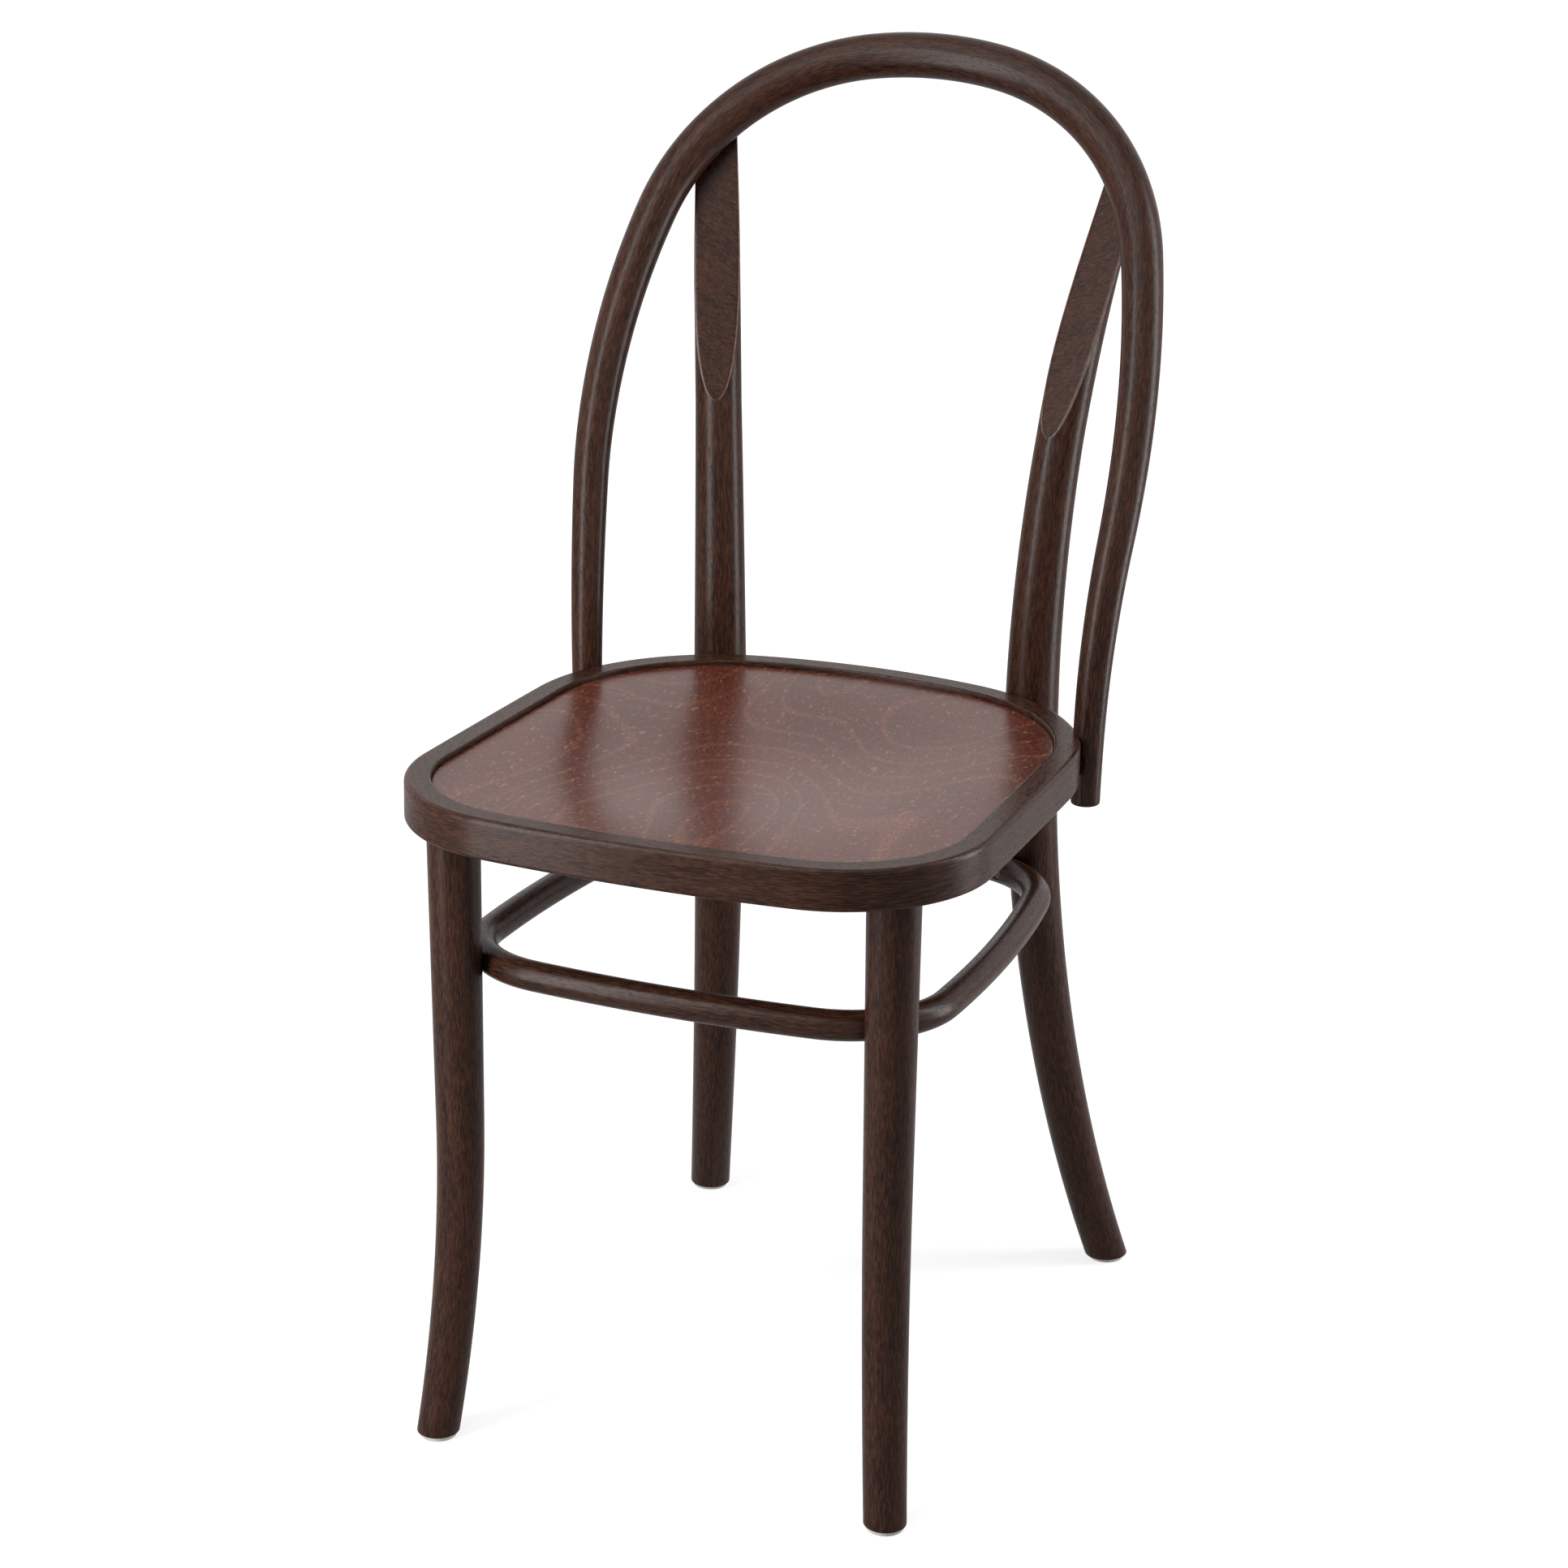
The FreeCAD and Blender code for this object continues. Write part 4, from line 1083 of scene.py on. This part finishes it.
def wood_material(name, piece, slant=0.0, rubbed=0.0):
    """Stained and lacquered wood whose fibres follow the bent grain.

    Where the grain is cut at a slant its fibres come out short, and a highlight share lays a painted
    highlight colour over it, in full on the fibres.
    """
    material, shader, w = principled(name)
    place = w.node("ShaderNodeAttribute", attribute_name="grain").outputs["Vector"]
    values = {"Vector": w.vector("ADD", place, GRAIN_PLACES[piece])}
    if slant:
        values["Angle"] = slant
        turned = w.node("ShaderNodeVectorRotate", values, rotation_type="Y_AXIS").outputs[0]
        values = {"Vector": turned, "Fibre Width": wood.slant_width, "Fibre Length": wood.slant_length,
                  "Pore Length": wood.slant_pore}
    fibres = grouped(w, fibre_group(), values)
    streaks, pores = fibres["Streaks"], fibres["Pores"]
    light = rgba(finishes.wood_light)
    tone = w.blend(w.times(streaks, wood.streaks), rgba(finishes.wood), light)
    tone = w.blend(w.times(fibres["Tone"], wood.tone), tone, light)
    tone = w.blend(w.times(pores, wood.pores), tone, rgba(finishes.wood_dark))
    # Painted highlight: the light arris colour stands in for the lamps' reflection on the flats' rounded
    # edges. It is laid in full on the fibres and at the share between them.
    if rubbed:
        tone = w.blend(w.mix(streaks, rubbed, 1.0), tone, rgba(finishes.worn))
    roughness = w.mix(pores, w.mix(streaks, wood.smooth, wood.fibrous), wood.porous)
    height = w.maths("SUBTRACT", w.times(streaks, wood.fibre_relief), pores)
    surfaced(w, shader, tone, roughness, height, wood.relief, wood.relief_share)
    shader.inputs["Specular IOR Level"].default_value = finishes.wood_gloss
    return material


def panel_material():
    """Glossy red-brown plywood with a swirling figure and golden flecks.

    Its rows follow the contours of a hilly noise, and its flecks lie along a swirled grain.
    """
    material, shader, w = principled("panel_plywood")
    place = w.node("ShaderNodeTexCoord").outputs["Object"]
    level = w.vector("MULTIPLY", place, (1.0, figure.stretch, 0.0))
    hills = w.noise(level, figure.hills, 1.0, 0.4)
    contours = w.maths("PINGPONG", w.times(hills, figure.rows), 1.0)
    fine = w.maths("PINGPONG", w.times(hills, figure.lines), 1.0)
    cloud = w.noise(level, figure.clouds, 3.0)
    bent = w.swirled(place, figure.swirls, figure.swirl_reach)
    flecks = w.noise(w.vector("MULTIPLY", bent, (figure.fleck_width, figure.fleck_length, 0.0)), 1.0, 2.0)
    gold = w.noise(w.vector("MULTIPLY", bent, (figure.gold_width, figure.gold_length, 0.0)), 1.0, 1.0)
    rows = w.times(w.ramp(contours, 0.74, 0.98), w.ramp(flecks, 0.37, 0.57))
    tone = rgba(finishes.panel_dark)
    for share, colour_value in (
            (w.share(cloud, 0.35, 0.65, figure.cloud_share), finishes.panel),
            (w.share(fine, 0.6, 1.0, figure.line_share), finishes.panel_dark),
            (w.share(flecks, 0.50, 0.66, figure.fleck_share), finishes.panel_light),
            (w.times(rows, figure.row_share), finishes.panel_light),
            (w.share(gold, 0.62, 0.74, figure.gold_share), finishes.panel_fleck)):
        tone = w.blend(share, tone, rgba(colour_value))
    roughness = w.mix(flecks, figure.smooth, figure.rough)
    surfaced(w, shader, tone, roughness, flecks, figure.relief, figure.relief_share)
    shader.inputs["Specular IOR Level"].default_value = finishes.panel_gloss
    return material


def hard_material(name, colour_value, roughness, metallic):
    """Plastic or metal with fine wear: duller in clouds, and lighter and rougher where it is scuffed."""
    dulling, lightening, scuff_share = 0.8, 1.25, 0.5
    roughening, scuff_depth = 0.12, 0.00002
    material, shader, w = principled(name)
    wear = grouped(w, wear_group(), {"Vector": w.node("ShaderNodeTexCoord").outputs["Object"]})
    scuffs = wear["Scuffs"]
    worn = [min(1.0, c * lightening + 0.01) for c in colour_value]
    dull = [c * dulling for c in colour_value]
    tone = w.blend(wear["Cloud"], rgba(colour_value), rgba(dull))
    tone = w.blend(w.times(scuffs, scuff_share), tone, rgba(worn))
    rough = w.mix(scuffs, roughness, roughness + roughening)
    surfaced(w, shader, tone, rough, scuffs, scuff_depth, scuff_share)
    shader.inputs["Metallic"].default_value = metallic
    return material


# Operators

class Piece(Operator):
    """Shared behaviour of the operators that make pieces."""

    bl_options = {"REGISTER"}

    def execute(self, context):
        self.make()
        return {"FINISHED"}


class CHAIR_OT_seat_rim(Piece):
    """Bends the seat rim's strip round the seat and bores it for its screws"""

    bl_idname = "chair.seat_rim"
    bl_label = "Seat Rim"

    def section(self):
        """Cross-section of the rim as (inwards from the outline, height)."""
        top, low, ledge = seat.height, rim_bottom(), ledge_top()
        points = []

        def corner(centre_in, centre_z, radius, start, end):
            for bend in spread(start, end, ROUND_STEPS + 1):
                points.append((centre_in + radius * math.cos(bend), centre_z + radius * math.sin(bend)))

        # A point this far before and after each rounding keeps the flats beside it level.
        beside = 0.0006
        bottom, over, inner = seat.rim_bottom_round, seat.rim_top_round, seat.rim_inner_round
        points.append((bottom + beside, low))
        corner(bottom, low + bottom, bottom, -math.pi / 2, -math.pi)
        points += [(0, low + bottom + beside), (0, top - over - beside)]
        corner(over, top - over, over, math.pi, math.pi / 2)
        points += [(over + beside, top), (seat.rim_border - inner - beside, top)]
        corner(seat.rim_border - inner, top - inner, inner, math.pi / 2, 0)
        return points + [(seat.rim_border, ledge), (seat.rim_width, ledge), (seat.rim_width, low)]

    def make(self):
        places = outline(seat_circles(), RING_SPACING)
        section = path_object("rim_section", [(u, v, 0) for u, v in self.section()], True, {})
        path = path_object("rim_path", [placed(p) for p, way in places], True,
                           {"outward": [way for p, way in places]})
        rim = grown(path, "rim_raw", strip_tree(), {
            "Section": section, "Material": wood_material("stained_wood_rim", "rim")})
        drop(section)
        rim.name = "rim_of_bent_wood"
        line = (rim_bottom() + ledge_top()) / 2
        holes = []
        for centre, corner, way, sink, room in (
                (*seat_circles()[1], turn(leg.angle), screw.rim_sink, screw.head_room),
                (*rear_corner(), turn(hoop.end_angle), screw.hoop_end_sink, screw.head_room),
                (*rear_corner(), turn(post.angle), screw.bolt_sink, screw.bolt_room)):
            mouth = centre + way * (corner - seat.rim_width) + UP * line
            holes.append((mouth, way, sink, room))
        rim = bored(rim, both_sides(holes) + self.panel_holes(), BORED_EDGE)
        middle = seat.rim_width / 2
        unbend(rim, [(p - way * middle + UP * line, way, UP.cross(way)) for p, way in places])
        shown(rim, "seat_rim")

    def panel_holes(self):
        """Bores from below for the panel's six screws: front, rear and two on each side."""
        inset = (seat.rim_border + seat.rim_width) / 2
        circles = seat_circles()
        start, end = arc_headings(circles)[2:4]
        (front, front_radius), side, (rear, rear_radius) = circles[::2]
        screw_shares = (0.15, 0.85)
        spots = [front - Vector((0, front_radius - inset, 0)), rear + Vector((0, rear_radius - inset, 0))]
        for share in screw_shares:
            spot = side[0] + turn(start + (end - start) * share) * (side[1] - inset)
            spots += [spot, mirrored(spot)]
        return [(spot + UP * rim_bottom(), UP, screw.panel_sink, screw.panel_room) for spot in spots]


class CHAIR_OT_seat_panel(Piece):
    """Moulds the dished plywood panel into the rim"""

    bl_idname = "chair.seat_panel"
    bl_label = "Seat Panel"

    def dish(self, point, inset):
        """Depth of the dish: level all round its edge at the inset, deepest in the middle."""
        depth = seat.panel_dish
        for place, half in ((point.x, seat.width / 2 - inset), (point.y, seat.depth / 2 - inset)):
            share = min(max(place / (2 * half) + 0.5, 0.0), 1.0)
            depth *= (4 * share * (1 - share)) ** 2
        return depth

    def make(self):
        places = outline(seat_circles(), PANEL_SPACING)
        top = seat.height - seat.panel_reveal
        low = ledge_top()
        inset = seat.rim_border + seat.panel_gap
        rounding = seat.panel_edge_round
        over = seat.rim_border + seat.panel_flat_border
        # Rings of points run from the middle of the underside round the edge to the middle of the top:
        # below and above as shares of the outline, and round the dish's border in metres.
        below = (0.05, 0.2, 0.4, 0.6, 0.75, 0.85)
        border = (0.002, 0.005, 0.009)
        above = spread(0.99, 0.03, 56)
        rings = []

        def ring(extra, scale, level, dish_inset):
            points = []
            for point, way in places:
                spot = (point - way * (inset + extra)) * scale
                depth = self.dish(spot, dish_inset) if dish_inset else 0.0
                points.append(spot + UP * (level - depth))
            rings.append(points)

        for scale in below:
            ring(0, scale, low, seat.rim_width)
        ring(seat.panel_chamfer, 1, low, None)
        ring(0, 1, low + seat.panel_chamfer, None)
        for bend in spread(0, math.pi / 2, ROUND_STEPS):
            ring(rounding * (1 - math.cos(bend)), 1, top - rounding * (1 - math.sin(bend)), None)
        for extra in border:
            ring(extra, 1, top, over)
        for scale in above:
            ring(border[-1], scale, top, over)
        work = bmesh.new()
        rows = [[work.verts.new(placed(p)) for p in points] for points in rings]
        for row, after in zip(rows, rows[1:]):
            for k in range(len(row)):
                work.faces.new((row[k - 1], row[k], after[k], after[k - 1]))
        for row in (rows[0], rows[-1]):
            middle = sum((v.co for v in row), Vector()) / len(row)
            pole = work.verts.new(middle)
            for k in range(len(row)):
                work.faces.new((row[k - 1], row[k], pole))
        bmesh.ops.recalc_face_normals(work, faces=work.faces)
        for face in work.faces:
            face.smooth = True
        panel = built("panel_of_moulded_plywood", work)
        panel.data.materials.append(panel_material())
        shown(panel, "seat_panel")


class CHAIR_OT_front_legs(Piece):
    """Bends the two tapered front legs"""

    bl_idname = "chair.front_legs"
    bl_label = "Front Legs"

    def make(self):
        right = []
        for z in spread(leg.glide, rim_bottom() + leg.into_rim, LEG_RINGS):
            axis = direction(leg_axis, z)
            front = (Vector((0, -1, 0)) + axis * axis.y).normalized()
            right.append((leg_axis(z), axis, UP, front, leg_radius(z), UNCUT))
        right = round_end(right, leg.foot_round)
        for side in (1, -1):
            word = side_word(side)
            stations = sided(right, side)
            material = wood_material("stained_wood_leg_" + word, "leg_" + word)
            obj = bar("front_leg_bent_" + word, stations, material)
            shown_bar(obj, stations, "front_leg_" + word)


class CHAIR_OT_rear_posts(Piece):
    """Bends the two rear posts, planes their flats and bores them behind the hoop"""

    bl_idname = "chair.rear_posts"
    bl_label = "Rear Posts"

    def heights(self, shape, top):
        """Heights of the rings, closest round the tip of the flat."""
        below_tip = shape.flat_start - 0.012
        above_tip = shape.flat_start + 0.016
        heights = spread(leg.glide, below_tip, 110)
        return heights + spread(below_tip, above_tip, 28)[1:] + spread(above_tip, top, 50)[1:]

    def mark_flat(self, obj, shape, side):
        """Gives the slanting flat's faces their material, and the narrow ones along its edges the painted
        arris highlight.
        """
        same_way = 0.9995
        same_plane = 0.0002
        least_turned, most_turned = 0.3, 0.985
        point, ahead = shape.lap_point, -shape.normal
        if side < 0:
            point, ahead = mirrored(point), mirrored(ahead)
        work = bmesh.new()
        work.from_mesh(obj.data)
        flat = {face for face in work.faces if face.normal.dot(ahead) > same_way
                and abs((face.calc_center_median() - placed(point)).dot(ahead)) < same_plane}
        for face in flat:
            face.material_index = 2
            for edge in face.edges:
                for beside in edge.link_faces:
                    if beside not in flat and least_turned < beside.normal.dot(ahead) < most_turned:
                        # Slot 1 paints a highlight on the narrow faces along the flat's edges.
                        beside.material_index = 1
        work.to_mesh(obj.data)
        work.free()

    def make(self):
        shape = PostShape()
        top = shape.top()
        foot = leg.glide
        # The rings lie level at the foot and along the hoop at the top, and turn square to the post
        # within these distances. Further than the third below the flat's tip nothing is planed.
        foot_turn = 0.03
        top_turn = 0.015
        before_tip = 0.02
        right = []
        for z in self.heights(shape, top):
            axis = direction(shape.axis, z)
            front, planed = shape.front_and_depth(z)
            ring = axis.lerp(UP, 1 - ease((z - foot) / foot_turn))
            ring = ring.lerp(shape.up, ease((z - top + top_turn) / top_turn)).normalized()
            if z < shape.flat_start - before_tip:
                planed = UNCUT
            right.append((shape.axis(z), axis, ring, front, shape.radius(z), planed))
        right = round_end(right, leg.foot_round)
        mouth = shape.lap_point - shape.up * screw.hoop_top_drop + shape.normal * post.lap_thickness
        hole = (mouth, -shape.normal, screw.hoop_top_sink, screw.head_room)
        for side in (1, -1):
            word = side_word(side)
            piece = "post_" + word
            stations = sided(right, side)
            obj = bar("rear_post_bent_" + word, stations, wood_material("stained_wood_" + piece, piece))
            # Slot 1 is the painted highlight along the flats' edges, and slot 2 is the planed flat.
            for material in (wood_material("worn_arris_" + word, piece, rubbed=wood.rubbed),
                             wood_material("planed_flat_" + word, piece, slant=-side * wood.slant)):
                obj.data.materials.append(material)
            obj = bored(obj, [hole if side > 0 else mirrored_bore(hole)], post.arris)
            self.mark_flat(obj, shape, side)
            shown_bar(obj, stations, "rear_" + piece)


class CHAIR_OT_back_hoop(Piece):
    """Bends the hoop of the back in its two planes"""

    bl_idname = "chair.back_hoop"
    bl_label = "Back Hoop"

    def make(self):
        right = []
        for u in spread(0.0, 1.0, HOOP_RINGS):
            centre, axis, behind, radius = hoop_station(u)
            right.append((centre, axis, axis, behind, radius, UNCUT))
        right = round_end(right, hoop.end_round)
        left = [(c, -a, -n, f, r, p) for c, a, n, f, r, p in reversed(sided(right[:-1], -1))]
        stations = right + left
        obj = bar("hoop_of_bent_wood", stations, wood_material("stained_wood_hoop", "hoop"))
        shown_bar(obj, stations, "back_hoop")


class CHAIR_OT_stretcher_ring(Piece):
    """Bends the closed stretcher ring and bores it for its screws"""

    bl_idname = "chair.stretcher_ring"
    bl_label = "Stretcher Ring"

    def make(self):
        circles = stretcher_circles()
        slope, front = stretcher_slope(circles)

        def raised(point):
            return point + UP * (stretcher.height - slope * (point.y - front))

        above = Vector((0, slope, 1)).normalized()
        stations = []
        for point, way in outline(circles, RING_SPACING):
            axis = above.cross(way).normalized()
            stations.append((raised(point), axis, axis, above, stretcher.radius, UNCUT))
        material = wood_material("stained_wood_ring", "ring")
        obj = bar("stretcher_of_bent_wood", stations, material, closed=True)
        holes = []
        for k, to_leg in ((1, stretcher.front_angle), (3, stretcher.rear_angle)):
            centre, corner = circles[k]
            way = turn(to_leg)
            mouth = raised(centre + way * corner) - way * stretcher.radius
            holes.append((mouth, way, screw.ring_sink, screw.head_room))
        obj = bored(obj, both_sides(holes), BORED_EDGE)
        shown_bar(obj, stations, "stretcher_ring")


class CHAIR_OT_fittings(Piece):
    """Finishes the glides, nails, screws, bolts, washers and inserts"""

    bl_idname = "chair.fittings"
    bl_label = "Fittings"

    def make(self):
        materials = {
            "glide_plastic": hard_material("glide_plastic", finishes.plastic, 0.42, 0.0),
            "steel": hard_material("steel", finishes.steel, 0.34, 1.0),
            "black_steel": hard_material("black_steel", finishes.black_steel, 0.45, 0.0),
            "brass": hard_material("brass", finishes.brass, 0.36, 1.0),
        }
        chosen = {
            "glide_plastic": ("glide_front_right", "glide_front_left",
                              "glide_rear_right", "glide_rear_left"),
            "steel": ("glide_nails", "front_leg_lock_screws", "hoop_end_screws", "panel_screws",
                      "rear_post_bolts", "rear_post_washers"),
            "black_steel": ("hoop_top_screws", "stretcher_screws"),
            "brass": ("rear_post_inserts",),
        }
        for name, nodes in chosen.items():
            for obj in [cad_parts[node] for node in nodes]:
                if not obj.material_slots:
                    obj.data.materials.append(None)
                for slot in obj.material_slots:
                    slot.material = materials[name]


class CHAIR_OT_studio(Piece):
    """Lays the pale floor, and sets the soft lamps and the camera"""

    bl_idname = "chair.studio"
    bl_label = "Studio"

    def floor(self):
        work = bmesh.new()
        bmesh.ops.create_grid(work, x_segments=8, y_segments=8, size=studio.floor_reach)
        floor = built("studio_floor", work)
        material, shader, w = principled("studio_floor")
        place = w.node("ShaderNodeTexCoord").outputs["Object"]
        darker = rgba([c * 0.99 for c in studio.floor])
        tone = w.blend(w.noise(place, 0.8, 2.0), rgba(studio.floor), darker)
        w.join(tone, shader.inputs["Base Color"])
        shader.inputs["Roughness"].default_value = 0.9
        shader.inputs["Specular IOR Level"].default_value = 0.1
        shader.inputs["Emission Color"].default_value = (1, 1, 1, 1)
        away = w.vector("LENGTH", w.vector("MULTIPLY", place, (1.0, 1.0, 0.0)))
        lift = w.mix(w.ramp(away, studio.near_floor, studio.far_floor), studio.floor_glow, 1.0)
        seen = self.background_rays(w, studio.floor_sheen)
        glow = w.node("ShaderNodeEmission", {"Strength": w.times(seen, lift)})
        total = w.node("ShaderNodeAddShader", {0: shader.outputs[0], 1: glow.outputs[0]})
        w.join(total.outputs[0], material.node_tree.nodes["Material Output"].inputs["Surface"])
        floor.data.materials.append(material)

    def world(self):
        """Even light for the chair, and white behind it for the camera and in reflections."""
        world = bpy.data.worlds.new("studio_world")
        bpy.context.scene.world = world
        world.use_nodes = True
        w = Wiring(world.node_tree)
        back = world.node_tree.nodes["Background"]
        back.inputs["Color"].default_value = (1, 1, 1, 1)
        w.join(w.mix(self.background_rays(w, 1.0), studio.world, 1.0), back.inputs["Strength"])

    def background_rays(self, w, share):
        """1 for the camera's rays, and a share for those that show the background in gloss and glass."""
        path = w.node("ShaderNodeLightPath").outputs
        mirrored_rays = w.maths("MAXIMUM", path["Is Glossy Ray"], path["Is Transmission Ray"])
        return w.maths("MAXIMUM", path["Is Camera Ray"], w.times(mirrored_rays, share))

    def lamp(self, name, place, aim, width, height, brightness):
        light = bpy.data.lights.new(name, "AREA")
        light.shape = "RECTANGLE"
        light.size = width
        light.size_y = height
        light.energy = brightness * math.pi * width * height
        obj = linked(name, light)
        obj.location = place
        obj.rotation_euler = (aim - place).to_track_quat("-Z", "Y").to_euler()

    def camera(self):
        a, e, roll = studio.azimuth, studio.elevation, studio.roll
        back = Vector((math.sin(a) * math.cos(e), -math.cos(a) * math.cos(e), math.sin(e)))
        right = turn(a)
        up = back.cross(right)
        across = right * math.cos(roll) + up * math.sin(roll)
        above = up * math.cos(roll) - right * math.sin(roll)
        target = Vector((studio.target_x, RIM_FRONT + studio.rim_to_target, studio.target_z))
        place = target + back * studio.distance
        data = bpy.data.cameras.new("studio_camera")
        data.sensor_width = studio.sensor
        data.lens = studio.lens
        data.clip_end = 100
        obj = linked("studio_camera", data)
        obj.matrix_world = Matrix((across, above, back)).transposed().to_4x4()
        obj.location = place
        bpy.context.scene.camera = obj

    def make(self):
        self.floor()
        self.world()
        from_camera = studio.azimuth - math.pi / 2
        middle = UP * studio.strip_middle
        for name, way, brightness in (
                ("lamp_left", from_camera - studio.left_way, studio.left_strip),
                ("lamp_right", from_camera + studio.right_way, studio.right_strip)):
            self.lamp(name, turn(way) * studio.strip_distance + middle, middle,
                      studio.strip_width, studio.strip_height, brightness)
        place = Vector((-studio.top_left, -studio.top_ahead, studio.top_height))
        self.lamp("lamp_above", place, UP * studio.top_aim,
                  studio.top_size, studio.top_size, studio.top_lamp)
        self.camera()
        bpy.context.scene.view_settings.view_transform = "Standard"


class CHAIR_PT_pieces(Panel):
    """Lists the chair's pieces and their sizes"""

    bl_idname = "CHAIR_PT_pieces"
    bl_label = "Bentwood Chair"
    bl_space_type = "VIEW_3D"
    bl_region_type = "UI"
    bl_category = "Chair"

    def draw(self, context):
        for operator in OPERATORS:
            self.layout.operator(operator.bl_idname)
        for name, group in GROUPS:
            box = self.layout.box()
            box.label(text=name.capitalize())
            values = getattr(context.scene, "chair_" + name)
            for key in group.__annotations__:
                box.prop(values, key)


GROUPS = (
    ("seat", SeatSizes), ("leg", LegSizes), ("post", PostSizes), ("hoop", HoopSizes),
    ("stretcher", StretcherSizes), ("screw", ScrewSizes), ("finishes", Finishes),
    ("wood", WoodSettings), ("figure", FigureSettings), ("studio", StudioSettings),
)
OPERATORS = (
    CHAIR_OT_studio, CHAIR_OT_seat_rim, CHAIR_OT_seat_panel, CHAIR_OT_front_legs, CHAIR_OT_rear_posts,
    CHAIR_OT_back_hoop, CHAIR_OT_stretcher_ring, CHAIR_OT_fittings,
)


def register():
    for name, group in GROUPS:
        bpy.utils.register_class(group)
        setattr(bpy.types.Scene, "chair_" + name, PointerProperty(type=group))
    for kind in OPERATORS + (CHAIR_PT_pieces,):
        bpy.utils.register_class(kind)


def unregister():
    for kind in reversed(OPERATORS + (CHAIR_PT_pieces,)):
        bpy.utils.unregister_class(kind)
    for name, group in reversed(GROUPS):
        delattr(bpy.types.Scene, "chair_" + name)
        bpy.utils.unregister_class(group)


def main():
    register()
    bpy.ops.chair.studio()
    bpy.ops.chair.seat_rim()
    bpy.ops.chair.seat_panel()
    bpy.ops.chair.front_legs()
    bpy.ops.chair.rear_posts()
    bpy.ops.chair.back_hoop()
    bpy.ops.chair.stretcher_ring()
    bpy.ops.chair.fittings()


if __name__ == "__main__":
    main()
